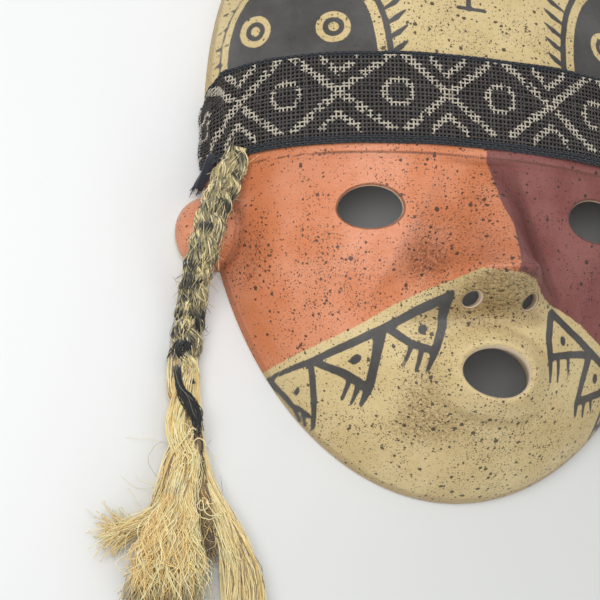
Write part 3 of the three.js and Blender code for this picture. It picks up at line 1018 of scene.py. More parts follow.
def clay_material():
    paint = Shader("painted_clay", roughness=0.42)
    place = paint.position()
    wobble = paint.noise(place, 0.35, 3.0)
    wobble = paint.math("MULTIPLY_ADD", wobble, 0.9, -0.45)

    # Colours of the slips, each mottled where the clay shows through.
    mottle = paint.noise(place, 0.045, 4.0, 0.6)
    fine = paint.noise(place, 0.9, 3.0, 0.6)
    orange = paint.mix(paint.ramp(mottle, 0.35, 0.68), *ORANGE_SLIP)
    red = paint.mix(paint.ramp(mottle, 0.35, 0.68), *RED_SLIP)
    cream = paint.mix(paint.ramp(mottle, 0.3, 0.7), *CREAM_SLIP)
    is_red = paint.ramp(paint.math("ADD", paint.attribute("red"), wobble), -0.2, 0.2)
    is_cream = paint.ramp(paint.math("ADD", paint.attribute("cream"), wobble), -0.2, 0.2)
    colour = paint.mix(is_red, orange, red)
    colour = paint.mix(is_cream, colour, cream)
    colour = paint.mix(paint.ramp(fine, 0.35, 0.75, 0, 0.22), colour, WORN, "MULTIPLY")

    # A deeper tone where the slip is thick, which beside the nose and the braid is painted shade,
    # and painted shade in the hollows.
    colour = paint.mix(paint.attribute("slip_and_shade"), colour, SLIP_AND_SHADE_TONE, "MULTIPLY")
    hollow = paint.attribute("hollow")
    hollow = paint.math("MULTIPLY", hollow, paint.ramp(mottle, 0.2, 0.7, 0.5, 1))
    colour = paint.mix(paint.math("MULTIPLY", hollow, 0.42), colour, CREASE_SHADE, "MULTIPLY")

    # Dark specks, with smoke where they are thick, which is painted shade under the nose's tip,
    # below the mouth and beside the braid.
    cloud = paint.attribute("cloud")
    speck = speck_mask(paint, place, cloud)
    smoke_and_shade = paint.ramp(cloud, 0.3, 1.7, 0, 1.4)
    smoke_and_shade = paint.math("MULTIPLY", smoke_and_shade, paint.ramp(fine, 0.3, 0.7, 0.15, 0.7))
    colour = paint.mix(smoke_and_shade, colour, SMOKE_AND_SHADE, "MULTIPLY")
    colour = paint.mix(paint.math("MULTIPLY", speck, 0.88), colour, SPECK)

    # Black slip, a little thin in places.
    ink = paint.attribute("ink")
    ink = paint.ramp(paint.math("ADD", ink, paint.math("MULTIPLY", wobble, 0.5)), 0.18, -0.18)
    black = paint.mix(paint.ramp(mottle, 0.3, 0.7), *BLACK_SLIP)
    colour = paint.mix(paint.math("MULTIPLY", ink, 0.97), colour, black)

    # The dark line under the headband and round the eyes and nostrils, and the bare clay inside,
    # which behind the mask is darkened as painted shade.
    dark_line = paint.math("MULTIPLY_ADD", wobble, 0.35, paint.attribute("dark_line"))
    dark_line = paint.ramp(dark_line, 0.15, 0.6, 1, 0)
    colour = paint.mix(paint.math("MULTIPLY", dark_line, 0.75), colour, DARK_LINE_TONE)
    inside = paint.attribute("inside")
    bare = paint.mix(paint.ramp(inside, 1, 2), *BARE_CLAY_AND_SHADE)
    inside = paint.ramp(inside, 0, 1)
    colour = paint.mix(inside, colour, bare)

    scratches = paint.noise(paint.scaled(place, (0.25, 1.6, 0.8)), 0.8, 4.0, 0.65)
    roughness = paint.ramp(scratches, 0.3, 0.75, 0.33, 0.56)
    roughness = paint.math("ADD", roughness, paint.math("MULTIPLY", inside, 0.25))
    grain = paint.math("MULTIPLY_ADD", scratches, 0.5, paint.math("MULTIPLY", fine, 0.5))
    grain = paint.math("SUBTRACT", grain, paint.math("MULTIPLY", speck, 0.35))
    normal = paint.bump(grain, 0.28, 0.0004)
    paint.set(Base_Color=colour, Roughness=roughness, Normal=normal, Specular_IOR_Level=0.36)
    return paint.material


def make_mask():
    """The clay. Its "inside" is 0 on the face, 1 in the openings' walls and 2 behind the mask."""
    points, polygons = shell_mesh()
    x, y, z = points.T
    outer_count = OUTER_RINGS * SHELL_SEGMENTS
    inner_end = outer_count + INNER_RINGS * SHELL_SEGMENTS
    inside = np.zeros(len(points))
    inside[outer_count:inner_end] = 2
    inside[inner_end:] = np.clip((outer_height(x, y) - z - 0.5)[inner_end:] / 0.5, 0, 1)
    cream = np.where(y > 0, y - BAND["y"], -above_line(x, y, MUZZLE_LINE))
    ridge_y, ridge_x = np.array(RIDGE_LINE, float).T
    red = x - np.interp(y, ridge_y, ridge_x)
    limit = 20
    attributes = {
        "ink": np.clip(ink_distance(x, y), -limit, limit),
        "cream": np.clip(cream, -limit, limit),
        "red": np.clip(red, -limit, limit),
        "dark_line": np.clip(dark_line_distance(x, y, z), 0, limit),
        "cloud": blots(x, y, CLOUDS),
        "slip_and_shade": blots(x, y, SLIP_AND_SHADE_BLOTS),
        # Painted shade in the hollows of the face.
        "hollow": np.clip((hollowness(x, y) - 0.02) * 7, 0, 1) * (inside == 0),
        "inside": inside,
    }
    mask = mesh_object("mask", points, polygons, clay_material(), attributes)
    face_outwards(mask)
    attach(mask, "mask")
    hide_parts("mask_shell")


# ---- The headband ----

def band_middle(x):
    return BAND["y"] + BAND["slope"] * x


def reach_across(y):
    """Half the outline's width at one height of the face."""
    power, reach = outline_half(y)
    return HALF_WIDTH * (1 - (np.abs(y - MID_Y) / reach) ** power) ** (1 / power)


def gathered(angle, across):
    """The cloth's top edge is drawn down at each end, where it is tied behind."""
    end = smoothstep(BAND["end_angle"] - BAND["gather"], BAND["end_angle"], np.abs(angle))
    half = BAND["half_height"]
    return (across + half) * (1 - 0.3 * end) - half


def over_brow(angle, across, distance):
    """Places over the bare dome under the headband, moved outwards, and the outward directions.

    angle goes round the brow and across, in millimetres, from the headband's middle up.
    """
    y = band_middle(HALF_WIDTH * np.sin(angle)) + gathered(angle, across)
    x = reach_across(y) * np.sin(angle)
    z = dome_height(x, y)
    step = 0.01
    share = outline_share(x, y)
    share_x = (outline_share(x + step, y) - outline_share(x - step, y)) / (2 * step)
    share_y = (outline_share(x, y + step) - outline_share(x, y - step)) / (2 * step)
    pull = DOME_FLATNESS * share ** (DOME_FLATNESS - 1)
    lift = (DOME_FULLNESS / DOME_HEIGHT) * (z / DOME_HEIGHT) ** (DOME_FULLNESS - 1)
    normal = unit(np.stack([pull * share_x, pull * share_y, lift], axis=-1))
    return np.stack([x, y, z], axis=-1) + normal * np.asarray(distance)[..., None], normal


def brow_lengths():
    """Angles round the brow and how far along the headband's middle each one is, from the middle."""
    angle = np.linspace(-BAND["end_angle"], BAND["end_angle"], BROW_SAMPLES)
    line, _ = over_brow(angle, 0 * angle, THREAD["height"] + 0 * angle)
    along = path_lengths(line)
    return angle, along - np.interp(0, angle, along)


# The cream figure on the headband: crossed lines with a ring between each two crossings, and a
# pointed mark over and under each crossing. A mark is its start, slope, half width and reach.
FIGURE = {
    "repeat": 40, "crossing": -14.2, "up": 1.7, "slope": 0.82, "half_width": 1.35 / 0.77,
    "reach": 14.8,
}
RING = {"radius": 5.1, "half_width": 0.95}
UPPER_MARK = (7.5, 0.85, 1.15 / 0.76, 7)
LOWER_MARK = (8, 0.9, 1.15 / 0.74, 7.5)


def band_paint(along, up):
    """1 where the cream figure is painted on the headband's cloth."""
    half_repeat = FIGURE["repeat"] / 2
    up = up - FIGURE["up"]
    along = along - 1.9 * np.exp(-(((along + 33) / 13) ** 2))
    place = along - FIGURE["crossing"] + half_repeat
    from_crossing = np.abs(place % FIGURE["repeat"] - half_repeat)
    from_ring = half_repeat - from_crossing
    painted = np.abs(np.abs(up) - FIGURE["slope"] * from_crossing) < FIGURE["half_width"]
    painted &= np.abs(up) < FIGURE["reach"]
    painted |= np.abs(np.hypot(from_ring, up) - RING["radius"]) < RING["half_width"]
    for side, (start, slope, half_width, reach) in ((1, UPPER_MARK), (-1, LOWER_MARK)):
        mark = np.abs(side * up - start - slope * from_crossing) < half_width
        painted |= mark & (from_crossing < reach) & (side * up > 0)
    return painted.astype(float)


def thread_rows():
    """How far up each crosswise thread is from the headband's middle: close together in the hems."""
    half = BAND["half_height"] - HEM["edge"]
    lower = -half + HEM["pitch"] * np.arange(HEM["lower_threads"])
    upper = half - HEM["pitch"] * np.arange(HEM["upper_threads"])[::-1]
    middle_count = round((upper[0] - lower[-1]) / WEAVE_PITCH)
    middle = np.linspace(lower[-1], upper[0], middle_count + 1)[1:-1]
    return np.concatenate([lower, middle, upper])


def cloth_lift(along, up):
    """Soft unevenness of the cloth over the brow, and folds where its ends are drawn together."""
    soft = 0.25 * np.sin(0.11 * along + 0.2 * up) + 0.18 * np.sin(0.23 * along - 0.31 * up + 1)
    folds = 0.1 + 0.55 * np.sin(0.62 * along + 0.1 * up) + 0.2 * np.sin(0.3 * up + 0.5 * along)
    return soft + folds * smoothstep(84, 106, np.abs(along))


def cell_middle(place):
    """The middle of the weave's cell that a place is in."""
    return np.round(place / WEAVE_PITCH) * WEAVE_PITCH


def is_worn(cell_along, cell_up):
    """Whether the cream paint is missing from a cell: one in ten, as if at random."""
    draw = np.sin(cell_along * 12.9898 + cell_up * 78.233) * 43758.5453
    return draw - np.floor(draw) <= 0.1


def make_headband():
    """The weave: threads round the brow and threads across it, over and under each other."""
    rng = np.random.default_rng(4)
    angle, lengths = brow_lengths()
    rows = thread_rows()
    column_count = round((lengths[-1] - lengths[0]) / WEAVE_PITCH)
    columns = np.linspace(lengths[0] + 0.5, lengths[-1] - 0.5, column_count)
    parts, paint, hem = [], [], []
    for threads, crossed, side, scatter in ((rows, columns, 1, 0.1), (columns, rows, -1, 0.14)):
        steps = np.arange(THREAD["steps"] * (len(crossed) - 1) + 1) / THREAD["steps"]
        shape = (len(threads), len(steps))
        phase = side * np.cos(np.pi * (steps + np.arange(len(threads))[:, None]))
        drift = np.repeat(rng.normal(0, scatter, (len(threads), 1)), len(steps), axis=1)
        own = np.broadcast_to(threads[:, None], shape)
        other = np.broadcast_to(np.interp(steps, np.arange(len(crossed)), crossed), shape)
        along, up = (other, own) if side > 0 else (own, other)
        moved_along, moved_up = (along, up + drift) if side > 0 else (along + drift, up)
        lift = THREAD["height"] + (THREAD["rise"] * phase + cloth_lift(along, up))
        paths, normals = over_brow(np.interp(moved_along, lengths, angle), moved_up, lift)
        across = np.cross(unit(np.gradient(paths, axis=1)), normals)
        half_width = THREAD["half_width"] * rng.uniform(0.85, 1.15, (len(paths), 1))
        parts.append(tubes(paths, half_width, THREAD["half_height"], THREAD["sides"], across))
        cell = cell_middle(along), cell_middle(up)
        painted = band_paint((along + cell[0]) / 2, (up + cell[1]) / 2) * ~is_worn(*cell)
        paint.append(np.repeat(painted.ravel(), THREAD["sides"]))
        edge = BAND["half_height"] - np.abs(up)
        in_hem = edge < np.where(up > 0, HEM["upper"], HEM["lower"])
        hem.append(np.repeat(in_hem.astype(float).ravel(), THREAD["sides"]))
    points, polygons = joined(parts)
    attributes = {"paint": np.concatenate(paint), "hem": np.concatenate(hem)}
    band = mesh_object("headband_weave", points, polygons, band_material(), attributes)
    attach(band, "mask")
    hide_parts("headband")
    make_backing(angle, lengths)


# The cloths' colours, each with two tones.
BAND_BROWN = ((0.034, 0.026, 0.025, 1), (0.075, 0.062, 0.057, 1))
BAND_DUST = (0.13, 0.115, 0.1, 1)
HEM_BLACK = ((0.012, 0.015, 0.02, 1), (0.04, 0.045, 0.05, 1))
CLOTH_PAINT = ((0.42, 0.37, 0.29, 1), (0.74, 0.67, 0.55, 1))
LINING_BLACK = ((0.006, 0.006, 0.007, 1), (0.02, 0.018, 0.019, 1))
TIE_BLACK = ((0.008, 0.01, 0.016, 1), (0.035, 0.038, 0.05, 1))


def band_material():
    cloth = Shader("headband_threads", roughness=0.95)
    place = cloth.position()
    tone = cloth.noise(place, 0.25, 3.0)
    fine = cloth.noise(place, 3.0, 2.0)
    brown = cloth.mix(cloth.ramp(tone, 0.35, 0.7), *BAND_BROWN)
    brown = cloth.mix(cloth.ramp(fine, 0.4, 0.7, 0, 0.6), brown, BAND_DUST)
    hem = cloth.mix(cloth.ramp(fine, 0.35, 0.7), *HEM_BLACK)
    colour = cloth.mix(cloth.attribute("hem"), brown, hem)
    cream = cloth.mix(cloth.ramp(fine, 0.3, 0.7), *CLOTH_PAINT)
    painted = cloth.math("MULTIPLY", cloth.attribute("paint"), cloth.ramp(tone, 0.3, 0.5, 0.55, 1))
    colour = cloth.mix(painted, colour, cream)
    normal = cloth.bump(cloth.noise(place, 6.0, 2.0), 0.4, 0.0002)
    cloth.set(Base_Color=colour, Normal=normal, Sheen_Weight=0.25, Specular_IOR_Level=0.2)
    return cloth.material


def make_backing(angle, lengths):
    """The plain black cloth under the weave, as a thin closed sheet."""
    start, end = lengths[0] + LINING["from_end"], lengths[-1] - LINING["from_end"]
    half = BAND["half_height"] - LINING["from_edge"]
    along = np.linspace(start, end, LINING["columns"])
    along, up = np.meshgrid(along, np.linspace(-half, half, LINING["rows"]), indexing="ij")
    angles = np.interp(along, lengths, angle)
    lift = cloth_lift(along, up)
    layers = [over_brow(angles, up, height + lift)[0] for height in LINING["heights"]]
    cloth = Shader("backing_cloth", roughness=0.97)
    fibre = cloth.noise(cloth.scaled(cloth.position(), (2, 2, 2)), 2.0, 3.0)
    colour = cloth.mix(fibre, *LINING_BLACK)
    cloth.set(Base_Color=colour, Normal=cloth.bump(fibre, 0.5, 0.0002), Specular_IOR_Level=0.15)
    backing = mesh_object("headband_lining", *thick_sheet(layers), cloth.material)
    face_outwards(backing)
    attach(backing, "mask")
    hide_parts("headband_backing")


def tie_material():
    cloth = Shader("tie_cloth", roughness=0.95)
    place = cloth.position()
    thread = cloth.noise(cloth.scaled(place, (3, 1, 3)), 1.2, 3.0)
    colour = cloth.mix(thread, *TIE_BLACK)
    cloth.set(Base_Color=colour, Normal=cloth.bump(thread, 0.6, 0.0003), Sheen_Weight=0.3)
    return cloth.material


# A tie end's roll: the cloth's thickness, how much flatter than wide it is, how many degrees it
# goes round to each side, and where the ear starts.
TIE = {
    "thickness": 0.45, "flatness": 0.9, "closed": 150, "samples": 22, "around": 26, "ear_top": -12.5,
}
FRAY = {"count": 26, "half_width": 0.12, "samples": 6, "lowest": 0.4}


def tie_line(side):
    """The middle of a tie end, from the headband's lower corner to the ear."""
    edge = band_middle(side * HALF_WIDTH) - BAND["half_height"]
    down = TIE["ear_top"] - edge
    guides = [
        (90.2, edge + 3.5, 9.5),
        (92, edge + 0.5, 8.4),
        (93.6, edge + down * 0.3, 6.6),
        (95, edge + down * 0.6, 5.2),
        (96.2, edge + down * 0.85, 4.4),
    ]
    return spline(guides, TIE["samples"]) * (side, 1, 1)


def make_tie(side, label, material):
    """The end of the black cloth that ties the headband on: a rolled scrap with a frayed end."""
    rng = np.random.default_rng(11 + side)
    middle = tie_line(side)
    share = np.linspace(0, 1, TIE["samples"])
    half_width = 2.6 - 0.9 * share + 0.12 * np.sin(9 * share)
    around = np.radians(np.linspace(-TIE["closed"], TIE["closed"], TIE["around"]))
    ahead = unit(np.gradient(middle, axis=0))
    across = unit(np.cross(ahead, (0, 0, 1)))
    up = np.cross(across, ahead)
    wave = 1 + 0.08 * np.sin(5 * around + 7 * share[:, None])
    layers = []
    for thickness in (0, TIE["thickness"]):
        wide = (half_width[:, None] - thickness) * wave
        place = middle[:, None] + (wide * np.sin(around))[..., None] * across[:, None]
        tall = wide * TIE["flatness"]
        layers.append(place + (tall * np.cos(around))[..., None] * up[:, None])
    tie = mesh_object(f"tie_end_{label}", *thick_sheet(layers), material)
    face_outwards(tie)
    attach(tie, "mask")
    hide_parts(f"headband_tie_{label}")

    count = FRAY["count"]
    place = rng.uniform(-1, 1, count)[:, None] * half_width[-1] * across[-1]
    start = middle[-2] + place + rng.normal(0, 0.3, (count, 3))
    reach = rng.uniform(0.8, 2.2, (count, 1))
    tip = start + ahead[-1] * reach + rng.normal(0, 0.6, (count, 3))
    bend = (start + tip) / 2 + rng.normal(0, 0.25, (count, 3))
    paths = spline(np.stack([start, bend, tip], axis=1), FRAY["samples"])
    paths[..., 2] = np.maximum(paths[..., 2], FRAY["lowest"])
    threads = tubes(paths, FRAY["half_width"], FRAY["half_width"], 3)
    fray = mesh_object(f"tie_fray_{label}", *threads, material)
    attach(fray, "mask")


# ---- Plant fibre ----

UNDYED = (1, 0.84, 0.47)
GOLD = (1, 0.7, 0.28)
BROWN = (0.34, 0.23, 0.12)
CHARCOAL = (0.022, 0.022, 0.024)
OLIVE = (0.42, 0.36, 0.175)
STRAW = (0.9, 0.75, 0.41)
GREY = (0.2, 0.18, 0.14)


class Fibres:
    """Gathers tubes, with a colour at each of their points, into one piece."""

    def __init__(self, name, material):
        self.name = name
        self.material = material
        self.parts = []
        self.tones = []

    def add(self, paths, half_width, colour, sides=3, flatness=1):
        """Paths are curve by point by coordinate, and keep above the floor."""
        paths = np.array(paths)
        half_width = np.broadcast_to(half_width, paths.shape[:2])
        paths[..., 2] = np.maximum(paths[..., 2], half_width * flatness + 0.05)
        self.parts.append(tubes(paths, half_width, half_width * flatness, sides))
        colour = np.broadcast_to(colour, paths.shape).reshape(-1, 3)
        self.tones.append(np.repeat(colour, sides, axis=0))

    def piece(self):
        tones = {"tone": np.concatenate(self.tones)}
        return mesh_object(self.name, *joined(self.parts), self.material, tones)


def picked(rng, count, colours, shares):
    """A colour for each of many fibres, from a few in given shares, a little lighter or darker."""
    colour = np.array(colours, float)[rng.choice(len(colours), count, p=shares)]
    return np.minimum(colour * rng.uniform(0.88, 1.14, (count, 1)), 1)[:, None]


def sisal_material():
    fibre = Shader("sisal", roughness=0.7)
    place = fibre.position()
    streak = fibre.ramp(fibre.noise(place, 1.3, 3.0), 0.4, 0.75, 0, 0.08)
    tone = fibre.attribute("tone", "Color")
    colour = fibre.mix(streak, tone, (0.6, 0.5, 0.38, 1), "MULTIPLY")
    normal = fibre.bump(fibre.noise(place, 5.0, 2.0), 0.3, 0.0002)
    fibre.set(Base_Color=colour, Normal=normal, Specular_IOR_Level=0.35, Sheen_Weight=0.3)
    return fibre.material


# ---- The braids ----

# The plait: its period and the strands' swing sideways and in depth, each strand's radius, the
# radius of its core as a share of that, its twist's period, and its fibres.
PLAIT = {
    "period": 27, "swing": 2.5, "depth": 1.6, "strand": 3.15, "core": 0.74, "twist": 40,
    "end_phase": 9.5, "fibres": 66, "samples": 150, "route_samples": 400,
}


def braid_line(side):
    """The route of a braid's middle, from just under the headband to where the tassel starts."""
    root_y = band_middle(side * BRAID_ROOT_X) - BAND["half_height"]
    points = np.array(BRAID_ROUTE, float)
    points[:, 0] *= -side
    points[:, 1] += root_y
    return points


def braid_frame(side):
    """Even places along a braid from under the headband, and its directions from the mask and up."""
    route = braid_line(side)
    above = route[0] - 0.2 * (route[0] - route[1]) + np.array([-side * 0.6, 5.2, 1.2])
    line = spline(np.concatenate([[above], route]), PLAIT["route_samples"])
    along = path_lengths(line)
    even = np.linspace(0, along[-1], PLAIT["samples"])
    line = np.stack([np.interp(even, along, line[:, k]) for k in range(3)], axis=1)
    ahead = unit(np.gradient(line, axis=0))
    away = unit(np.cross((0, 0, side), ahead))
    up = np.cross(away, ahead) * -side
    return line, even, ahead, away, up


def braid_colours(rng, even, strand, fibres, outward):
    """Dyed fibre in patches, undyed near the tassel, where one strand is black.

    outward is how far the strand swings away from the mask. The braid is darker on the mask's side
    near the top, and on the other side lower down, as painted shade.
    """
    length = even[-1]
    colours, shares = (OLIVE, STRAW, GREY), (0.4, 0.38, 0.22)
    first, second = (picked(rng, fibres, colours, shares) for _ in range(2))
    change = np.sin(even * rng.uniform(0.25, 0.6, (fibres, 1)) + rng.uniform(0, 6, (fibres, 1)))
    colour = first + (second - first) * smoothstep(-0.2, 0.2, change)[..., None]
    patch_and_shade = np.sin(even * 0.29 + 2.1 * strand) + 0.8 * np.sin(even * 0.71 + strand * 4.4 + 1)
    # Painted shade: the mask's side of the braid darker near the top, the other side lower down.
    patch_and_shade = patch_and_shade - 2 * outward * np.exp(-(((even - 20) / 13) ** 2))
    patch_and_shade = patch_and_shade + 1.5 * outward * smoothstep(length - 58, length - 42, even)
    patch_and_shade = patch_and_shade + rng.normal(0, 0.3, (fibres, 1)) + 0.6 * change
    dark = smoothstep(0.3, 1.1, patch_and_shade) * 0.92
    raw = smoothstep(length - 12, length - 4, even + rng.normal(0, 2.5, (fibres, 1)))
    black = smoothstep(length - 38, length - 24, even + rng.normal(0, 2, (fibres, 1)))
    black = black * (strand == 0)
    dark = np.maximum(dark * (1 - raw), black)[..., None]
    undyed = picked(rng, fibres, (UNDYED, GOLD), (0.8, 0.2))
    colour = colour + (undyed - colour) * raw[..., None]
    return colour + (np.array(CHARCOAL) - colour) * dark


def make_braid(side, label, material):
    rng = np.random.default_rng(21 + side)
    line, even, ahead, away, up = braid_frame(side)
    fibres = PLAIT["fibres"]
    narrow = 0.6 + 0.4 * smoothstep(0, 9, even)
    thin = 0.4 + 0.6 * smoothstep(0, 12, even)
    rope = Fibres(f"braid_rope_{label}", material)
    for strand in range(3):
        from_end = even - even[-1] + PLAIT["end_phase"]
        phase = 2 * np.pi * (from_end / PLAIT["period"] + 0.25 + strand / 3)
        middle = line + (PLAIT["swing"] * narrow * np.sin(phase))[:, None] * away
        middle = middle + (PLAIT["depth"] * thin * np.sin(2 * phase))[:, None] * up
        turn = rng.uniform(0, 2 * np.pi, (fibres, 1)) + 2 * np.pi * even / PLAIT["twist"]
        turn = turn + 0.5 * np.sin(even * 0.35 + rng.uniform(0, 6, (fibres, 1)))
        radius = PLAIT["strand"] * rng.uniform(0.5, 1.04, (fibres, 1)) ** 0.6
        rough = np.sin(even * rng.uniform(0.4, 1.3, (fibres, 1)) + rng.uniform(0, 6, (fibres, 1)))
        radius = radius * (1 + 0.12 * rough)
        paths = middle + (radius * narrow * np.cos(turn))[..., None] * away
        paths = paths + (radius * 0.9 * thin * np.sin(turn))[..., None] * up
        colour = braid_colours(rng, even, strand, fibres, np.sin(phase))
        rope.add(paths, rng.uniform(0.2, 0.38, (fibres, 1)), colour)
        # A solid core in each strand, darker than its fibres: painted shade between them.
        core = PLAIT["strand"] * PLAIT["core"] * narrow
        tone = colour.mean(axis=0)[None] * 0.7
        rope.add(middle[None], core[None], tone, sides=10, flatness=0.85 * thin)
    braid = rope.piece()
    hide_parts(f"braid_{label}")
    fuzz = make_fuzz(rng, label, material, (line, even, ahead, away, up))
    for piece in (braid, fuzz):
        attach(piece, f"{label}_lock")
    return braid, fuzz, line


# Loose ends that lie along a braid and hairs that stand off it: how many, their slope and length.
HAIRS = [(330, (-0.04, 0.14), (4, 10)), (120, (0.4, 1.6), (1.5, 5))]


def make_fuzz(rng, label, material, frame):
    line, even, ahead, away, up = frame
    fuzz = Fibres(f"braid_hairs_{label}", material)
    for count, lift, long in HAIRS:
        at = rng.integers(10, len(line) - 6, count)
        turn = rng.uniform(-0.35 * np.pi, 1.35 * np.pi, count)
        out = np.cos(turn)[:, None] * away[at] + 0.8 * np.sin(turn)[:, None] * up[at]
        thin = 0.6 + 0.4 * smoothstep(0, 12, even[at])
        start = line[at] + out * rng.uniform(4.4, 5.6, (count, 1)) * thin[:, None]
        sideways = np.cross(out, ahead[at]) * rng.normal(0, 0.45, (count, 1))
        lean = unit(ahead[at] * rng.choice((-1, 1, 1), (count, 1)) + sideways)
        reach = rng.uniform(*long, (count, 1))
        tip = start + unit(lean + out * rng.uniform(*lift, (count, 1))) * reach
        bend = (start + tip) / 2 + rng.normal(0, 0.3, (count, 3))
        paths = spline(np.stack([start, bend, tip], axis=1), 6)
        tone = picked(rng, count, (STRAW, OLIVE, GREY, CHARCOAL), (0.4, 0.28, 0.18, 0.14))
        raw = smoothstep(even[-1] - 12, even[-1] - 5, even[at])[:, None, None]
        tone = tone + (picked(rng, count, (UNDYED,), (1,)) - tone) * raw
        fuzz.add(paths, np.linspace(0.14, 0.08, 6), tone)
    piece = fuzz.piece()
    return piece


# ---- The tassels ----

# Locks of fibre, from the braid's end: the middle of each along its way, +X toward the mask, how wide
# it is at each of those places, the number of fibres, how far their cut ends scatter, their curl,
# their colours, and how dark their ends are, as painted shade where they lie under or between other
# locks.
TRUNK_LOCKS = [
    {
        "way": [
            (-3, 8, 7), (-2.7, -3, 8), (1.4, -15, 8), (-3, -30, 9), (-6, -46, 9), (-8, -62, 7),
            (-11, -80, 4),
        ],
        "wide": (2.4, 2.8, 2.8, 4.2, 6, 8.5, 11), "fibres": 400, "ends": 4, "curl": 1.2,
        "colours": (UNDYED, GOLD, BROWN), "shares": (0.5, 0.35, 0.15), "end_shade": 0.62,
    },
    {
        "way": [
            (2, 6, 7), (-1.6, -6, 10), (-3.6, -18, 10), (0.6, -31, 12), (-2, -44, 13), (-3, -58, 12),
            (-3, -79, 6),
        ],
        "wide": (2, 2.6, 2.8, 3.6, 4.6, 7.5, 10), "fibres": 400, "ends": 4, "curl": 1.2,
        "colours": (UNDYED, GOLD, BROWN), "shares": (0.62, 0.28, 0.1), "end_shade": 0.62,
    },
    {
        "way": [
            (4, 6, 6), (4.5, -8, 6), (5.5, -22, 6), (8, -36, 7), (13, -47, 8), (17.5, -58, 8),
            (21.5, -70, 7), (23, -94, 4),
        ],
        "wide": (1.6, 2, 2.4, 3, 4, 5.4, 7, 8.5), "fibres": 600, "ends": 4, "curl": 0.6,
        "colours": (UNDYED, GOLD, BROWN), "shares": (0.7, 0.24, 0.06),
    },
    {
        "way": [(-2.8, 5, 9.5), (-2.2, -3, 12.4), (0.6, -8, 14), (3.2, -13, 13.6), (4.4, -17, 12)],
        "wide": (1.2, 1.4, 2.6, 2.3, 0.9), "fibres": 110, "ends": 2, "curl": 0.15,
        "colours": (CHARCOAL, GREY), "shares": (0.85, 0.15),
    },
    {
        "way": [(3, -12, 12), (4.2, -18, 12), (5, -25, 11), (6, -33, 9)],
        "wide": (1.4, 1.2, 1.1, 0.7), "fibres": 60, "ends": 3, "curl": 0.3,
        "colours": (BROWN, GREY, CHARCOAL), "shares": (0.6, 0.2, 0.2),
    },
]
LOOSE_LOCKS = [
    {
        "way": [(-3, -38, 9), (-7, -46, 9), (-13, -51, 9), (-20, -54, 8), (-26, -55, 5)],
        "wide": (3, 5, 6.4, 6.4, 5), "fibres": 260, "ends": 4, "curl": 1.4,
        "colours": (UNDYED, GOLD), "shares": (0.6, 0.4),
    },
    {
        "way": [(-4, -42, 13), (-7, -50, 17), (-9, -58, 19), (-10, -66, 16), (-10, -73, 11)],
        "wide": (3.5, 6, 8, 9.5, 10.5), "fibres": 420, "ends": 4, "curl": 2.2,
        "colours": (UNDYED, GOLD), "shares": (0.4, 0.6),
    },
    {
        "way": [(-1, -40, 14), (-2, -50, 17), (-3, -60, 18), (-2, -71, 12)],
        "wide": (2.4, 3.4, 5.5, 8.5), "fibres": 260, "ends": 4.5, "curl": 2.2,
        "colours": (UNDYED, GOLD), "shares": (0.85, 0.15),
    },
    {
        "way": [(5, -36, 11), (6.6, -44, 11), (8, -52, 9), (9, -61, 5)],
        "wide": (1.2, 1.8, 2, 2.6), "fibres": 80, "ends": 4, "curl": 1.6,
        "colours": (BROWN, GREY, GOLD), "shares": (0.55, 0.15, 0.3), "end_shade": 0.8,
    },
]

# Single fibres that leave the tassel, and the curls of its knot.
STRAYS = [
    {
        "from": (4, -46, 17), "spread": (1.6, 2.4, 0.8), "heading": (190, 330), "reach": 15,
        "bend": 0.5, "fibres": 8, "half_width": 0.2, "colours": (UNDYED,), "shares": (1,),
    },
    {
        "from": (0, -42, 12), "spread": (5, 12, 2), "heading": (150, 390), "reach": 20,
        "bend": 0.42, "fibres": 60, "half_width": 0.065,
        "colours": (UNDYED, GREY), "shares": (0.85, 0.15),
    },
]
TANGLE = {"middle": (-0.5, -31, 13.5), "spread": (1.5, 4.4, 1), "radius": (1.2, 3.6), "fibres": 240}
TASSEL_SAMPLES = 18
CORE_SAMPLES = 14
STRAY_SAMPLES = 24
STRAY_PLACES = 8


def lock_paths(rng, lock, samples):
    """Fibres that fill a lock: each keeps its own side of the middle and strays a little."""
    way = np.array(lock["way"], float)
    count, places = lock["fibres"], len(way)
    turn = rng.uniform(0, 2 * np.pi, (count, 1))
    turn = turn + np.cumsum(rng.normal(0.1, 0.3, (count, places)), axis=1)
    out = np.sqrt(rng.uniform(0, 1, (count, 1))) + rng.normal(0, 0.16, (count, places))
    out = out * np.array(lock["wide"])
    slip = rng.normal(0, 0.8, out.shape)
    guides = way + np.stack([out * np.cos(turn), slip, 0.75 * out * np.sin(turn)], axis=-1)
    guides[:, -1] += rng.normal(0, 1, (count, 3)) * (0.3, 1, 0.3) * lock["ends"]
    paths = spline(guides, samples)
    share = np.linspace(0, 1, samples)
    for axis in (0, 2):
        wave = np.sin(rng.uniform(8, 20, (count, 1)) * share + rng.uniform(0, 6, (count, 1)))
        paths[..., axis] += lock["curl"] * wave * (0.3 + 0.7 * share)
    return paths


def tangle_paths(rng, samples):
    """Curls of fibre in a loose knot at the tassel's waist."""
    count = TANGLE["fibres"]
    middle = np.array(TANGLE["middle"]) + rng.normal(0, 1, (count, 3)) * TANGLE["spread"]
    radius = rng.uniform(*TANGLE["radius"], (count, 1))
    start = rng.uniform(0, 2 * np.pi, (count, 1))
    sweep = np.linspace(0, 1, samples) * rng.uniform(1, 3.2, (count, 1))
    turn = start + sweep * rng.choice((-1, 1), (count, 1))
    radius = radius * (1 + 0.25 * np.sin(2 * turn))
    x, y, z = radius * np.cos(turn), 1.5 * radius * np.sin(turn), -0.12 * radius**2
    return middle[:, None] + np.stack([x, y, z], axis=-1)


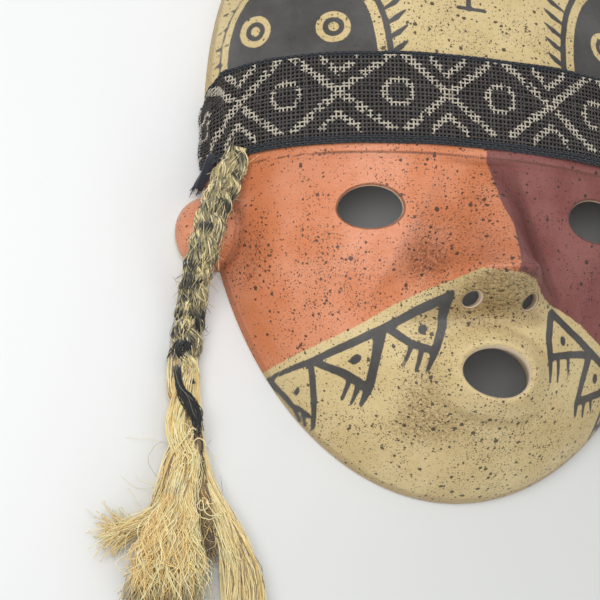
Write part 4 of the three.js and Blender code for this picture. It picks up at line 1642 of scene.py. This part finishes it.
def add_lock(rng, bundle, lock):
    """A lock's fibres, thinner and darker at their ends, round a tapering dark core: painted shade.
    """
    tone = picked(rng, lock["fibres"], lock["colours"], lock["shares"])
    share = np.linspace(0, 1, TASSEL_SAMPLES)
    tone = tone * np.interp(share, (0.6, 0.85), (1, lock.get("end_shade", 1)))[:, None]
    half_width = rng.uniform(0.12, 0.27, (lock["fibres"], 1)) * (1 - 0.3 * share)
    bundle.add(lock_paths(rng, lock, TASSEL_SAMPLES), half_width, tone)
    core = spline(lock["way"], CORE_SAMPLES)[None]
    core_width = spline(np.array(lock["wide"])[:, None], CORE_SAMPLES)[None, :, 0]
    core_width = core_width * np.geomspace(0.7, 0.06, CORE_SAMPLES)
    # The core's darker tone is painted shade inside the lock.
    bundle.add(core, core_width, np.array(lock["colours"][-1]) * 0.6, sides=10, flatness=0.7)


def add_strays(rng, bundle, strays):
    """Single fibres that leave the tassel on ways of their own."""
    count, bend = strays["fibres"], 0.6 * strays["bend"]
    start = np.array(strays["from"]) + rng.normal(0, 1, (count, 3)) * strays["spread"]
    heading = np.radians(rng.uniform(*strays["heading"], (count, 1)))
    curl = rng.normal(0, bend, (count, 1))
    heading = heading + np.cumsum(curl + rng.normal(0, bend, (count, STRAY_PLACES)), axis=1)
    step = strays["reach"] / STRAY_PLACES * rng.uniform(0.6, 1.3, (count, 1))
    drop = np.broadcast_to(-0.25 * step, heading.shape)
    ahead = np.stack([step * np.cos(heading), step * np.sin(heading), drop], axis=-1)
    guides = start[:, None] + np.cumsum(ahead, axis=1)
    tone = picked(rng, count, strays["colours"], strays["shares"])
    bundle.add(spline(guides, STRAY_SAMPLES), strays["half_width"], tone)


def make_tassel(side, label, material):
    rng = np.random.default_rng(41 + side)
    tassel = Fibres(f"tassel_fibres_{label}", material)
    loose = Fibres(f"tassel_ends_{label}", material)
    for lock in TRUNK_LOCKS:
        add_lock(rng, tassel, lock)
    for lock in LOOSE_LOCKS:
        add_lock(rng, loose, lock)
    tone = picked(rng, TANGLE["fibres"], (UNDYED, GOLD), (0.65, 0.35))
    paths = tangle_paths(rng, TASSEL_SAMPLES)
    loose.add(paths, rng.uniform(0.14, 0.28, (TANGLE["fibres"], 1)), tone)
    for strays in STRAYS:
        add_strays(rng, loose, strays)
    pieces = []
    for bundle in (tassel, loose):
        for points, _ in bundle.parts:
            points *= (-side, 1, 1)
            points += (*braid_line(side)[-1, :2], 0)
        piece = bundle.piece()
        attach(piece, f"{label}_lock")
        pieces.append(piece)
    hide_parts(f"tassel_{label}")
    return pieces


# ---- The whole object ----

make_camera()
sisal = sisal_material()
for body_side, body_label in ((-1, "left"), (1, "right")):
    rope, hairs, rope_line = make_braid(body_side, body_label, sisal)
    tufts = make_tassel(body_side, body_label, sisal)
make_mask()
make_headband()
black_cloth = tie_material()
for body_side, body_label in ((-1, "left"), (1, "right")):
    make_tie(body_side, body_label, black_cloth)
make_studio()
